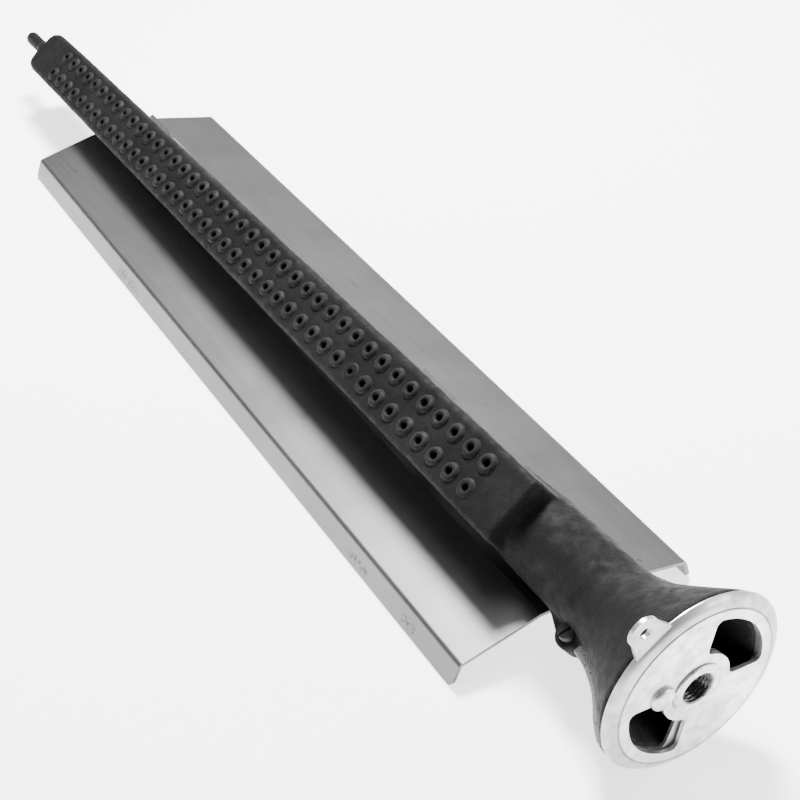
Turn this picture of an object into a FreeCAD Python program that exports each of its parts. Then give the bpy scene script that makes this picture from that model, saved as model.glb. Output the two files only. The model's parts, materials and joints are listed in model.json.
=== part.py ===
import FreeCAD, Part
import math
import os

# Gas bar burner: a hollow cast-iron bar with two rows of ports, fed by a venturi tube whose
# bell mouth carries a rotary air shutter, with a folded steel deflector hung under the bar.
#
# Frame: origin at the centre of the shutter's rim circle, on the burner's axis. +Y runs along
# the deflector towards the tail, +X across it and +Z up. The deflector lies level. The burner
# is pitched and rolled over it. Three frames are used:
#   burner frame  u across, y along the axis, n out of the port face (rolled and pitched)
#   plate frame   x, y, z with only the burner's pitch: the shutter and its plates
#   level frame   x, y, z of the part: the deflector and the brackets' feet
# All sizes are in millimetres, and all angles in degrees.

# --- attitude of the burner over the level deflector
BURNER_ROLL = 37.7
BURNER_PITCH = 1.8

# --- air shutter (turns), a shallow dished disc
SHUTTER_R = 38.1
SHUTTER_SHOULDER = 5.1
SHUTTER_DISH = 2.7
SHUTTER_SHEET = 1.5
SHUTTER_STEP = 0.22
SHUTTER_STEP_WIDTH = 0.5
SHUTTER_SKIRT = 0.5
SHUTTER_ARC_RISE = 0.5
OPENING_SPAN = 85.0
OPENING_FIRST = -5.0
OPENING_R_IN = 14.3
OPENING_MARGIN = 4.0
OPENING_CORNER = 2.6
EAR_ANGLE = 124.0
EAR_HOLE_OUT = 7.4
EAR_R = 6.0
EAR_HOLE_R = 2.25
EAR_ROOT_HALF = 8.0

# --- bell mouth and venturi tube of the casting
BELL_FACE_Y = 0.9
BELL_RIM_INSET = 0.8
BELL_RIM_WIDTH = 1.4
BELL_HALF_ANGLE = 33.0
BELL_ARC_R = 46.0
BELL_EDGE_CHAMFER = 0.6
TUBE_R = 17.4
TUBE_TAPER = 0.4
TUBE_WALL = 4.6
MOUTH_INSET = 1.0
MOUTH_HALF_ANGLE = 28.0
MOUTH_ARC_R = 40.0

# --- bar of the casting
BAR_START_Y = 87.0
BAR_END_Y = 590.0
BAR_HALF_WIDTH_NEAR = 14.9
BAR_TAPER = 1.2
BAR_BOTTOM_N = 6.0
BAR_DEPTH = 19.5
BAR_WALL = 4.0
BAR_END_WALL = 5.0
BAR_TOP_ROUND = 2.8
BAR_BOTTOM_ROUND = 2.5
BAR_SHOULDER_ROUND = 9.0
BLEND_LENGTH = 60.0

# --- burner ports
PORT_ROWS_APART = 12.3
PORT_PITCH = 11.11
PORT_FIRST_FROM_BAR = 22.6
PORT_TAIL_MARGIN = 30.0
PORT_R = 1.4
PORT_BOSS_R = 3.5
PORT_BOSS_TOP_R = 3.0
PORT_BOSS_HEIGHT = 1.5
PORT_BOSS_SINK = 0.2

# --- tail pin and core plug
PIN_R = 4.0
PIN_LENGTH = 24.0
PIN_TIP = 1.6
PIN_BELOW_FACE = 4.6
PIN_ROOT_LENGTH = 3.0
PIN_ROOT_SWELL = 1.2
CORE_PLUG_FLOOR = 2.5
CORE_PLUG_DEPTH = 4.0
CORE_PLUG_CUP = 2.5
CORE_PLUG_WALL = 1.0
CORE_PLUG_GAP = 0.4

# --- lug and rib on the side of the venturi tube
LUG_Y = 46.0
LUG_R = 6.2
LUG_STAND = 0.8
LUG_LOW_N = -6.0
LUG_TOP_N = 4.5
LUG_SCREW_R = 2.0
LUG_SCREW_HEAD_R = 3.6
LUG_SCREW_HEAD = 2.6
LUG_SCREW_LENGTH = 8.0
LUG_SPOT_FACE_CLEAR = 0.4
RIB_THICK = 3.2
RIB_STAND = 3.6
RIB_BACK = 16.0

# --- hub that the gas orifice screws into, and on which the shutter turns
HUB_BORE_R = 6.0
HUB_WALL = 3.2
HUB_FLANGE_OVER = 1.2
HUB_FLANGE = 0.7
HUB_FLANGE_GAP = 0.25
HUB_TAIL = 7.1
HUB_CHAMFER = 0.6
HUB_FIT = 0.06
HUB_SEAT_FIT = 0.02
HUB_WASHER_OVER = 1.9
HUB_WASHER_THICK = 1.0
HUB_RING_OVER = 1.7
HUB_RING_THICK = 1.0
HUB_GROOVE_DEPTH = 0.7
HUB_RING_MOUTH = 50.0
WAVE_WASHER_OVER = 2.4
WAVE_WASHER_THICK = 0.5

# --- dome-headed screw that clamps the shutter, and stops its travel
LOCK_ANGLE = 166.0
LOCK_HEAD_GAP = 0.7
LOCK_SCREW_R = 1.75
LOCK_HEAD_R = 5.0
LOCK_HEAD = 2.7
LOCK_HEAD_EDGE = 0.6
LOCK_SCREW_FIT = 0.05
LOCK_TRACK_CLEAR = 0.35
LOCK_WASHER_R = 4.3
LOCK_WASHER_THICK = 0.8
LOCK_NUT_ACROSS = 6.4
LOCK_NUT_THICK = 2.6
LOCK_SCREW_OVER = 1.0
BACK_CLEAR = 0.3

# --- fixed air plate behind the shutter, and the countersunk screws that hold it to the bell
PLATE_SHEET = 1.2
PLATE_GAP = 0.9
PLATE_OPENING_LAG = 7.5
OPEN_STOP = 7.5
CLOSED_TURN = 80.0
PLATE_SCREW_WALL = 0.2
PLATE_SCREW_SPREAD = 24.0
PLATE_SCREW_R = 1.5
PLATE_SCREW_HEAD_R = 2.8
PLATE_SCREW_HEAD = 1.5
PLATE_SCREW_LENGTH = 6.0
SCREW_FIT = 0.05

# --- deflector of folded sheet
DEFLECTOR_CENTRE_X = 4.6
DEFLECTOR_START_Y = 66.7
DEFLECTOR_SHORT_OF_BAR = 81.7
DEFLECTOR_HALF_WIDTH = 54.0
DEFLECTOR_STRIP_HALF = 17.9
DEFLECTOR_BELOW_BURNER = 0.58
WING_DROP = 8.1
LIP_DROP = 10.1
LIP_FLARE = 3.7
DEFLECTOR_SHEET = 1.5
BEND_INNER_R = 1.0
LIP_CORNER_R = 2.5

# --- brackets that carry the deflector, and their screws
BRACKET_SHEET = 2.0
BRACKET_WIDTH = 24.0
FRONT_BRACKET_FROM_START = 108.3
REAR_BRACKET_FROM_END = 43.3
BRACKET_EDGE_INSET = 0.2
BRACKET_FOOT = 13.6
BRACKET_LEG_PAST_SCREW = 6.1
BAR_SCREW_U = 0.6
BAR_SCREW_R = 2.0
BAR_SCREW_HEAD_R = 3.6
BAR_SCREW_HEAD = 2.6
BAR_SCREW_SHORT = 0.5
BAR_WASHER_R = 4.2
BAR_WASHER_THICK = 0.8
FOOT_SCREW_FROM_WEB = 8.2
FOOT_SCREWS_APART = 13.0
FOOT_SCREW_R = 2.0
FOOT_SCREW_HEAD_R = 3.6
FOOT_SCREW_HEAD = 2.4
FOOT_NUT_ACROSS = 7.0
FOOT_NUT_THICK = 3.0
FOOT_WASHER_R = 4.4
FOOT_WASHER_THICK = 0.8
FOOT_SCREW_OVER = 1.0
SLOT_WIDTH = 1.0
SLOT_DEPTH = 1.1

# --- worked out from the sizes above: the shutter, its plate and its hub
HUB_R = HUB_BORE_R + HUB_WALL
HUB_FLANGE_R = HUB_R + HUB_FLANGE_OVER
LOCK_OUT = HUB_FLANGE_R + LOCK_HEAD_GAP + LOCK_HEAD_R
SHUTTER_FACE_R = SHUTTER_R - SHUTTER_SHOULDER
PLATE_R = SHUTTER_FACE_R
OPENING_R_OUT = SHUTTER_FACE_R - OPENING_MARGIN
SHUTTER_BACK_Y = SHUTTER_SHEET - SHUTTER_DISH
PLATE_FRONT_Y = SHUTTER_BACK_Y + PLATE_GAP
PLATE_BACK_Y = PLATE_FRONT_Y + PLATE_SHEET
EAR_OUT = SHUTTER_R + EAR_HOLE_OUT
PLATE_FIRST = OPENING_FIRST - PLATE_OPENING_LAG
TRACK_HALF = LOCK_SCREW_R + LOCK_TRACK_CLEAR
PLATE_R_IN = LOCK_OUT - TRACK_HALF

# --- worked out: the casting
BELL_RIM_R = SHUTTER_R - BELL_RIM_INSET
MOUTH_R = OPENING_R_OUT - MOUTH_INSET
PLATE_SCREW_OUT = MOUTH_R + PLATE_SCREW_R + PLATE_SCREW_WALL
TUBE_END_R = TUBE_R - TUBE_TAPER
BORE_R = TUBE_R - TUBE_WALL
LUG_OUT = TUBE_R + LUG_STAND
BAR_HALF_WIDTH_FAR = BAR_HALF_WIDTH_NEAR - BAR_TAPER
PORT_FACE_N = BAR_BOTTOM_N + BAR_DEPTH
CORE_PLUG_R = (BAR_DEPTH - PIN_BELOW_FACE - PIN_R - CORE_PLUG_GAP - CORE_PLUG_FLOOR) / 2

# --- worked out: the deflector hangs just clear of the tube's end and of the rolled bar's corner
ROLL_SIN = math.sin(math.radians(BURNER_ROLL))
ROLL_COS = math.cos(math.radians(BURNER_ROLL))
PITCH_SIN = math.sin(math.radians(BURNER_PITCH))
PITCH_COS = math.cos(math.radians(BURNER_PITCH))
DEFLECTOR_END_Y = BAR_END_Y - DEFLECTOR_SHORT_OF_BAR
DEFLECTOR_LENGTH = DEFLECTOR_END_Y - DEFLECTOR_START_Y
BAR_CORNER_Z = ((BAR_BOTTOM_N + BAR_BOTTOM_ROUND) * ROLL_COS - BAR_BOTTOM_ROUND
                - (BAR_HALF_WIDTH_NEAR - BAR_BOTTOM_ROUND) * ROLL_SIN)
TUBE_LOW_Z = -TUBE_END_R * PITCH_COS - BAR_START_Y * PITCH_SIN
BAR_LOW_Z = BAR_CORNER_Z * PITCH_COS - DEFLECTOR_END_Y * PITCH_SIN
DEFLECTOR_STRIP_Z = min(TUBE_LOW_Z, BAR_LOW_Z) - DEFLECTOR_BELOW_BURNER
BRACKET_WEB_X = ((BAR_HALF_WIDTH_FAR - BRACKET_EDGE_INSET) * ROLL_COS - BAR_BOTTOM_N * ROLL_SIN)
BRACKET_LEG_U = BAR_SCREW_U - BRACKET_LEG_PAST_SCREW
FOOT_SCREW_X = BRACKET_WEB_X + FOOT_SCREW_FROM_WEB

QUARTER_TURN = 90.0
HALF_TURN = 180.0
FULL_TURN = 360.0
CUT_OVER = 5.0
NEAR_ENOUGH = 0.01

X_AXIS = FreeCAD.Vector(1, 0, 0)
Y_AXIS = FreeCAD.Vector(0, 1, 0)
Z_AXIS = FreeCAD.Vector(0, 0, 1)
PITCH = FreeCAD.Rotation(X_AXIS, -BURNER_PITCH)
ROLL = FreeCAD.Rotation(Y_AXIS, -BURNER_ROLL)


def vec(x, y, z):
    """A point or direction."""
    return FreeCAD.Vector(x, y, z)


def to_plate(shape):
    """Put a shape drawn along +Y into the part's frame: the burner's pitch only."""
    return shape.transformed(FreeCAD.Placement(vec(0, 0, 0), PITCH).toMatrix())


def to_burner(shape):
    """Put a shape drawn in u, y, n into the part's frame: the burner's roll, then its pitch."""
    return shape.transformed(FreeCAD.Placement(vec(0, 0, 0), PITCH.multiply(ROLL)).toMatrix())


def cylinder(centre, axis, radius, length):
    """A cylinder whose first end is centred on `centre`."""
    return Part.makeCylinder(radius, length, centre, axis)


def box(low, high):
    """A box between two corners."""
    size = high - low
    return Part.makeBox(size.x, size.y, size.z, low)


def hexagon(centre, axis, across, thick):
    """A hexagonal prism whose flats are `across` apart, starting at `centre`."""
    corner = across / 2 / math.cos(math.pi / 6)
    points = []
    for step in range(7):
        angle = math.pi / 3 * step
        points.append(vec(corner * math.cos(angle), corner * math.sin(angle), 0))
    prism = Part.Face(Part.makePolygon(points)).extrude(vec(0, 0, thick))
    turn = FreeCAD.Rotation(Z_AXIS, axis)
    return prism.transformed(FreeCAD.Placement(centre, turn).toMatrix())


def ring(centre, axis, outer, inner, thick):
    """A flat ring whose first face is centred on `centre`."""
    return cylinder(centre, axis, outer, thick).cut(cylinder(centre, axis, inner, thick))


def spin(edges):
    """A solid of revolution about the Y axis from profile edges that start and end on it."""
    return Part.Face(Part.Wire(edges)).revolve(vec(0, 0, 0), Y_AXIS, FULL_TURN)


def line(start, end):
    """A straight profile edge between two (radius, y) points."""
    return Part.LineSegment(vec(*start, 0), vec(*end, 0)).toShape()


def arc(start, middle, end):
    """A circular profile edge through three (radius, y) points."""
    return Part.Arc(vec(*start, 0), vec(*middle, 0), vec(*end, 0)).toShape()


def polar(radius, angle, y):
    """A point of the plate frame, at an angle from +X towards +Z."""
    turn = math.radians(angle)
    return vec(radius * math.cos(turn), y, radius * math.sin(turn))


def edges_along(shape, direction):
    """The straight edges of a shape that run along a direction."""
    found = []
    for edge in shape.Edges:
        if edge.Curve.TypeId == "Part::GeomLine":
            if edge.Curve.Direction.cross(direction).Length < NEAR_ENOUGH:
                found.append(edge)
    return found


def flare(mouth_r, mouth_y, throat_r, half_angle, arc_r):
    """Profile edges of a cone that an arc joins to a throat, and the y where the throat starts."""
    slope = math.radians(half_angle)
    meet_y = mouth_y + (mouth_r - throat_r) / math.tan(slope)
    reach = arc_r * math.tan(slope / 2)
    start = (throat_r + reach * math.sin(slope), meet_y - reach * math.cos(slope))
    end = (throat_r, meet_y + reach)
    centre_r = throat_r + arc_r
    middle = (centre_r - arc_r * math.cos(slope / 2), end[1] - arc_r * math.sin(slope / 2))
    return [line((mouth_r, mouth_y), start), arc(start, middle, end)], end[1]


def bell_and_tube():
    """The outside of the bell mouth and of the venturi tube, up to the bar."""
    cone_y = BELL_FACE_Y + BELL_RIM_WIDTH
    cone, throat_y = flare(BELL_RIM_R, cone_y, TUBE_R, BELL_HALF_ANGLE, BELL_ARC_R)
    face_edge = BELL_RIM_R - BELL_EDGE_CHAMFER
    rim_y = BELL_FACE_Y + BELL_EDGE_CHAMFER
    edges = [
        line((0, BELL_FACE_Y), (face_edge, BELL_FACE_Y)),
        line((face_edge, BELL_FACE_Y), (BELL_RIM_R, rim_y)),
        line((BELL_RIM_R, rim_y), (BELL_RIM_R, cone_y)),
        *cone,
        line((TUBE_R, throat_y), (TUBE_END_R, BAR_START_Y)),
        line((TUBE_END_R, BAR_START_Y), (0, BAR_START_Y)),
        line((0, BAR_START_Y), (0, BELL_FACE_Y)),
    ]
    return spin(edges)


def venturi_bore():
    """The air and gas passage from the bell mouth to the bar."""
    cone, throat_y = flare(MOUTH_R, BELL_FACE_Y, BORE_R, MOUTH_HALF_ANGLE, MOUTH_ARC_R)
    edges = [
        line((0, BELL_FACE_Y), (MOUTH_R, BELL_FACE_Y)),
        *cone,
        line((BORE_R, throat_y), (BORE_R, BAR_START_Y)),
        line((BORE_R, BAR_START_Y), (0, BAR_START_Y)),
        line((0, BAR_START_Y), (0, BELL_FACE_Y)),
    ]
    return spin(edges)


def blend(near_r, far_half_u, far_half_n, far_n):
    """A smooth body from the tube's circle to a flat ellipse under the port face."""
    across = FreeCAD.Rotation(X_AXIS, -QUARTER_TURN)
    near_place = FreeCAD.Placement(vec(0, BAR_START_Y, 0), across)
    far_place = FreeCAD.Placement(vec(0, BAR_START_Y + BLEND_LENGTH, far_n), across)
    circle = Part.Circle(vec(0, 0, 0), Z_AXIS, near_r).toShape()
    oval = Part.Ellipse(vec(0, 0, 0), far_half_u, far_half_n).toShape()
    near = Part.Wire(circle).transformed(near_place.toMatrix())
    far = Part.Wire(oval).transformed(far_place.toMatrix())
    return Part.makeLoft([near, far], True, True)


def bar_outline(start_y, end_y, inset, low_n, high_n):
    """The bar's tapered plan, inset from its sides, between two heights."""
    near = BAR_HALF_WIDTH_NEAR - inset
    far = BAR_HALF_WIDTH_FAR - inset
    corners = [(-near, start_y), (near, start_y), (far, end_y), (-far, end_y), (-near, start_y)]
    plan = Part.Face(Part.makePolygon([vec(u, y, low_n) for u, y in corners]))
    return plan.extrude(vec(0, 0, high_n - low_n))


def bar_body():
    """The outside of the bar: rounded shoulders at the tail and rounded long edges."""
    bar = bar_outline(BAR_START_Y, BAR_END_Y, 0, BAR_BOTTOM_N, PORT_FACE_N)
    tail = [edge for edge in edges_along(bar, Z_AXIS) if edge.CenterOfMass.y > BAR_START_Y + 1]
    bar = bar.makeFillet(BAR_SHOULDER_ROUND, tail)
    near_y = BAR_START_Y + NEAR_ENOUGH
    top = [e for e in bar.Edges
           if e.BoundBox.ZMin > PORT_FACE_N - NEAR_ENOUGH and e.BoundBox.YMax > near_y]
    bar = bar.makeFillet(BAR_TOP_ROUND, top)
    low = [e for e in bar.Edges
           if e.BoundBox.ZMax < BAR_BOTTOM_N + NEAR_ENOUGH and e.BoundBox.YMax > near_y]
    return bar.makeFillet(BAR_BOTTOM_ROUND, low)


def port_places():
    """Where each port stands on the port face, as (u, y)."""
    room = BAR_END_Y - PORT_TAIL_MARGIN - BAR_START_Y - PORT_FIRST_FROM_BAR
    count = int(room / PORT_PITCH) + 1
    places = []
    for index in range(count):
        y = BAR_START_Y + PORT_FIRST_FROM_BAR + index * PORT_PITCH
        for side in (-1, 1):
            places.append((side * PORT_ROWS_APART / 2, y))
    return places


def tail_pin():
    """The pin that holds the tail in the appliance, with a cone at its root and its tip."""
    n = PORT_FACE_N - PIN_BELOW_FACE
    root_r = PIN_R + PIN_ROOT_SWELL
    root = Part.makeCone(root_r, PIN_R, PIN_ROOT_LENGTH, vec(0, BAR_END_Y - 1, n), Y_AXIS)
    shank = cylinder(vec(0, BAR_END_Y - CUT_OVER, n), Y_AXIS, PIN_R, PIN_LENGTH - PIN_TIP + CUT_OVER)
    tip_y = BAR_END_Y + PIN_LENGTH - PIN_TIP
    tip = Part.makeCone(PIN_R, PIN_R - PIN_TIP, PIN_TIP, vec(0, tip_y, n), Y_AXIS)
    inside = box(vec(-root_r, BAR_END_Y - CUT_OVER, BAR_BOTTOM_N),
                 vec(root_r, BAR_END_Y + PIN_LENGTH, PORT_FACE_N))
    return root.common(inside).fuse([shank, tip])


def core_plug_n():
    """The core hole sits under the pin, clear of it."""
    return PORT_FACE_N - PIN_BELOW_FACE - PIN_R - CORE_PLUG_GAP - CORE_PLUG_R


def lug_and_rib():
    """The screw lug on the side of the tube, and the rib that runs from it to the bell."""
    centre = vec(-LUG_OUT, LUG_Y, LUG_LOW_N)
    boss = cylinder(centre, Z_AXIS, LUG_R, LUG_TOP_N - LUG_LOW_N)
    neck = box(vec(-LUG_OUT, LUG_Y - LUG_R, LUG_LOW_N), vec(-BORE_R - 1, LUG_Y + LUG_R, LUG_TOP_N))
    slope = math.tan(math.radians(BELL_HALF_ANGLE))
    cone_y = BELL_FACE_Y + BELL_RIM_WIDTH
    lug_edge = LUG_OUT + LUG_R - RIB_STAND / 2
    points = [
        (BELL_RIM_R - RIB_STAND, cone_y + RIB_STAND / slope / 2),
        (lug_edge, LUG_Y - LUG_R),
        (TUBE_R + RIB_STAND / 2, LUG_Y + LUG_R),
        (BORE_R + 1, LUG_Y + LUG_R + RIB_BACK),
        (BORE_R + 1, LUG_Y),
        (BELL_RIM_R - RIB_STAND * 3, cone_y + RIB_STAND),
    ]
    outline = [vec(-u, y, -RIB_THICK / 2) for u, y in points]
    rib = Part.Face(Part.makePolygon(outline + outline[:1])).extrude(vec(0, 0, RIB_THICK))
    return boss.fuse([neck, rib])


def bar_screw_places():
    """Where the bracket screws enter the bar's underside, as y along the burner's axis."""
    return [bracket_y / PITCH_COS for bracket_y in bracket_places()]


def bracket_places():
    """The middle of the front and of the rear bracket along the deflector."""
    return [DEFLECTOR_START_Y + FRONT_BRACKET_FROM_START, DEFLECTOR_END_Y - REAR_BRACKET_FROM_END]


def plate_screw_angles():
    """The fixed plate's screws stand on its two lands, clear of the openings."""
    angles = []
    for land in (0, HALF_TURN):
        middle = PLATE_FIRST + OPENING_SPAN + (HALF_TURN - OPENING_SPAN) / 2 + land
        angles += [middle - PLATE_SCREW_SPREAD, middle + PLATE_SCREW_SPREAD]
    return angles


def plate_screw(angle, fit):
    """One countersunk screw, or its hole where a fit is given."""
    head = Part.makeCone(PLATE_SCREW_HEAD_R + fit, PLATE_SCREW_R + fit, PLATE_SCREW_HEAD,
                         polar(PLATE_SCREW_OUT, angle, PLATE_FRONT_Y), Y_AXIS)
    shank = cylinder(polar(PLATE_SCREW_OUT, angle, PLATE_FRONT_Y), Y_AXIS,
                     PLATE_SCREW_R + fit, PLATE_SCREW_LENGTH + fit * 4)
    return head.fuse(shank)


def venturi_casting():
    """The front of the iron casting, up to the plane where the bar starts: bell, tube and lug."""
    outer = bell_and_tube().fuse(lug_and_rib())
    lug_hole = cylinder(vec(-LUG_OUT, LUG_Y, LUG_TOP_N - LUG_SCREW_LENGTH - 1), Z_AXIS,
                        LUG_SCREW_R + SCREW_FIT, LUG_SCREW_LENGTH + CUT_OVER)
    spot_face = cylinder(vec(-LUG_OUT, LUG_Y, LUG_TOP_N), Z_AXIS,
                         LUG_SCREW_HEAD_R + LUG_SPOT_FACE_CLEAR, CUT_OVER * 2)
    casting = to_burner(outer.cut([venturi_bore(), lug_hole, spot_face]))
    screws = [to_plate(plate_screw(angle, SCREW_FIT)) for angle in plate_screw_angles()]
    return casting.cut(screws)


def bar_casting():
    """The rest of the same casting, from that plane on: ported bar, belly and tail pin."""
    outer = blend(TUBE_END_R, BAR_HALF_WIDTH_NEAR - BAR_BOTTOM_ROUND, BAR_WALL,
                  BAR_BOTTOM_N + BAR_WALL + 1)
    outer = outer.fuse(bar_body())
    bosses = []
    ports = []
    for u, y in port_places():
        base = vec(u, y, PORT_FACE_N - PORT_BOSS_SINK)
        bosses.append(Part.makeCone(PORT_BOSS_R, PORT_BOSS_TOP_R, PORT_BOSS_HEIGHT + PORT_BOSS_SINK,
                                    base, Z_AXIS))
        ports.append(cylinder(vec(u, y, PORT_FACE_N - BAR_WALL - 1), Z_AXIS, PORT_R, CUT_OVER * 2))
    outer = outer.fuse(bosses + [tail_pin()])
    inside = bar_outline(BAR_START_Y + BAR_END_WALL, BAR_END_Y - BAR_END_WALL, BAR_WALL,
                         BAR_BOTTOM_N + BAR_WALL, PORT_FACE_N - BAR_WALL)
    tail = [e for e in edges_along(inside, Z_AXIS) if e.CenterOfMass.y > BAR_START_Y + BAR_DEPTH]
    inside = inside.makeFillet(BAR_SHOULDER_ROUND - BAR_WALL, tail)
    passage = blend(BORE_R, BAR_HALF_WIDTH_NEAR - BAR_WALL - 1, BAR_WALL,
                    BAR_BOTTOM_N + BAR_WALL * 2 + 1)
    plug_hole = cylinder(vec(0, BAR_END_Y - BAR_END_WALL - 1, core_plug_n()), Y_AXIS,
                         CORE_PLUG_R + SCREW_FIT / 2, CUT_OVER * 2)
    holes = [plug_hole]
    for y in bar_screw_places():
        holes.append(cylinder(vec(BAR_SCREW_U, y, BAR_BOTTOM_N - 1), Z_AXIS,
                              BAR_SCREW_R + SCREW_FIT, BAR_WALL + 2))
    return to_burner(outer.cut([passage.fuse(inside)] + ports + holes))


def core_plug():
    """A pressed steel cup that closes the core hole in the tail wall."""
    start = vec(0, BAR_END_Y - CORE_PLUG_DEPTH, core_plug_n())
    cup_start = vec(0, BAR_END_Y - CORE_PLUG_CUP, core_plug_n())
    cup = cylinder(cup_start, Y_AXIS, CORE_PLUG_R - CORE_PLUG_WALL, CORE_PLUG_DEPTH)
    return to_burner(cylinder(start, Y_AXIS, CORE_PLUG_R, CORE_PLUG_DEPTH).cut(cup))


def sector(first, span, inner, outer, start_y, thick, corner):
    """A rounded sector of a ring, to cut an air opening."""
    whole = ring(vec(0, start_y, 0), Y_AXIS, outer, inner, thick)
    reach = outer * 2
    points = [vec(0, start_y, 0)]
    steps = max(2, math.ceil(span / 45.0) + 1)
    for step in range(steps):
        points.append(polar(reach, first + span * step / (steps - 1), start_y))
    wedge = Part.Face(Part.makePolygon(points + points[:1])).extrude(vec(0, thick, 0))
    piece = whole.common(wedge)
    return piece.makeFillet(corner, edges_along(piece, Y_AXIS))


def air_shutter():
    """The dished disc that turns on the hub, with two openings and an ear at its rim."""
    hole_r = HUB_R + HUB_FIT
    face_y = -SHUTTER_DISH
    step_y = face_y + SHUTTER_STEP
    step_r = SHUTTER_FACE_R + SHUTTER_STEP_WIDTH
    middle = ((step_r + SHUTTER_R) / 2 + SHUTTER_ARC_RISE / 2, step_y / 2 - SHUTTER_ARC_RISE)
    inner_r = SHUTTER_R - SHUTTER_SHEET
    inner_bend = (SHUTTER_FACE_R - SHUTTER_STEP_WIDTH, SHUTTER_BACK_Y)
    inner_rim = (inner_r, -SHUTTER_STEP / 2)
    edges = [
        line((hole_r, face_y), (SHUTTER_FACE_R, face_y)),
        line((SHUTTER_FACE_R, face_y), (SHUTTER_FACE_R, step_y)),
        line((SHUTTER_FACE_R, step_y), (step_r, step_y)),
        arc((step_r, step_y), middle, (SHUTTER_R, 0)),
        line((SHUTTER_R, 0), (SHUTTER_R, SHUTTER_SKIRT)),
        line((SHUTTER_R, SHUTTER_SKIRT), (inner_r, SHUTTER_SKIRT)),
        line((inner_r, SHUTTER_SKIRT), inner_rim),
        line(inner_rim, inner_bend),
        line(inner_bend, (hole_r, SHUTTER_BACK_Y)),
        line((hole_r, SHUTTER_BACK_Y), (hole_r, face_y)),
    ]
    disc = spin(edges)
    ear_y = SHUTTER_SKIRT - SHUTTER_SHEET
    ear_round = cylinder(polar(EAR_OUT, EAR_ANGLE, ear_y), Y_AXIS, EAR_R, SHUTTER_SHEET)
    side = math.degrees(EAR_ROOT_HALF / SHUTTER_R)
    lean = math.degrees(EAR_R / EAR_OUT)
    root = [
        polar(inner_r + SHUTTER_SHEET / 2, EAR_ANGLE - side, ear_y),
        polar(EAR_OUT, EAR_ANGLE - lean, ear_y),
        polar(EAR_OUT, EAR_ANGLE + lean, ear_y),
        polar(inner_r + SHUTTER_SHEET / 2, EAR_ANGLE + side, ear_y),
    ]
    ear_root = Part.Face(Part.makePolygon(root + root[:1])).extrude(vec(0, SHUTTER_SHEET, 0))
    inner = cylinder(vec(0, ear_y - 1, 0), Y_AXIS, inner_r + SHUTTER_SHEET / 4, SHUTTER_SHEET + 2)
    disc = disc.fuse([ear_round.cut(inner), ear_root.cut(inner)])
    cuts = [cylinder(polar(EAR_OUT, EAR_ANGLE, ear_y - 1), Y_AXIS, EAR_HOLE_R, SHUTTER_SHEET + 2)]
    cuts.append(cylinder(polar(LOCK_OUT, LOCK_ANGLE, face_y - 1), Y_AXIS,
                         LOCK_SCREW_R + LOCK_SCREW_FIT, SHUTTER_SHEET + 2))
    for start in (OPENING_FIRST, OPENING_FIRST + HALF_TURN):
        cuts.append(sector(start, OPENING_SPAN, OPENING_R_IN, OPENING_R_OUT,
                           face_y - 1, SHUTTER_SHEET + 2, OPENING_CORNER))
    return to_plate(disc.cut(cuts).removeSplitter())


def fixed_air_plate():
    """The plate on the bell's face, with matching openings and the lock screw's track."""
    plate = ring(vec(0, PLATE_FRONT_Y, 0), Y_AXIS, PLATE_R, HUB_R + HUB_SEAT_FIT, PLATE_SHEET)
    start_y = PLATE_FRONT_Y - 1
    thick = PLATE_SHEET + 2
    cuts = []
    for start in (PLATE_FIRST, PLATE_FIRST + HALF_TURN):
        cuts.append(sector(start, OPENING_SPAN, PLATE_R_IN, OPENING_R_OUT, start_y, thick,
                           OPENING_CORNER))
    track_first = LOCK_ANGLE - OPEN_STOP
    track_span = PLATE_FIRST + HALF_TURN + OPENING_SPAN / 2 - track_first
    cuts.append(sector(track_first, track_span, LOCK_OUT - TRACK_HALF, LOCK_OUT + TRACK_HALF,
                       start_y, thick, LOCK_TRACK_CLEAR))
    for stop in (track_first, LOCK_ANGLE + CLOSED_TURN):
        cuts.append(cylinder(polar(LOCK_OUT, stop, start_y), Y_AXIS, TRACK_HALF, thick))
    plate = to_plate(plate.cut(cuts))
    screws = [to_plate(plate_screw(angle, SCREW_FIT)) for angle in plate_screw_angles()]
    return plate.cut(screws).removeSplitter()


def orifice_hub():
    """The flanged bushing: the shutter turns on it, and the gas orifice screws into it."""
    flange_back = -SHUTTER_DISH - HUB_FLANGE_GAP
    flange_front = flange_back - HUB_FLANGE
    end_y = PLATE_BACK_Y + HUB_TAIL
    groove_y = PLATE_BACK_Y + HUB_WASHER_THICK
    groove_end = groove_y + HUB_RING_THICK + SCREW_FIT
    groove_r = HUB_R - HUB_GROOVE_DEPTH
    edges = [
        line((HUB_BORE_R + HUB_CHAMFER, flange_front), (HUB_FLANGE_R - HUB_CHAMFER / 2, flange_front)),
        line((HUB_FLANGE_R - HUB_CHAMFER / 2, flange_front), (HUB_FLANGE_R, flange_back)),
        line((HUB_FLANGE_R, flange_back), (HUB_R, flange_back)),
        line((HUB_R, flange_back), (HUB_R, groove_y)),
        line((HUB_R, groove_y), (groove_r, groove_y)),
        line((groove_r, groove_y), (groove_r, groove_end)),
        line((groove_r, groove_end), (HUB_R, groove_end)),
        line((HUB_R, groove_end), (HUB_R, end_y - HUB_CHAMFER)),
        line((HUB_R, end_y - HUB_CHAMFER), (HUB_R - HUB_CHAMFER, end_y)),
        line((HUB_R - HUB_CHAMFER, end_y), (HUB_BORE_R, end_y)),
        line((HUB_BORE_R, end_y), (HUB_BORE_R, flange_front + HUB_CHAMFER)),
        line((HUB_BORE_R, flange_front + HUB_CHAMFER), (HUB_BORE_R + HUB_CHAMFER, flange_front)),
    ]
    return to_plate(spin(edges))


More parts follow.
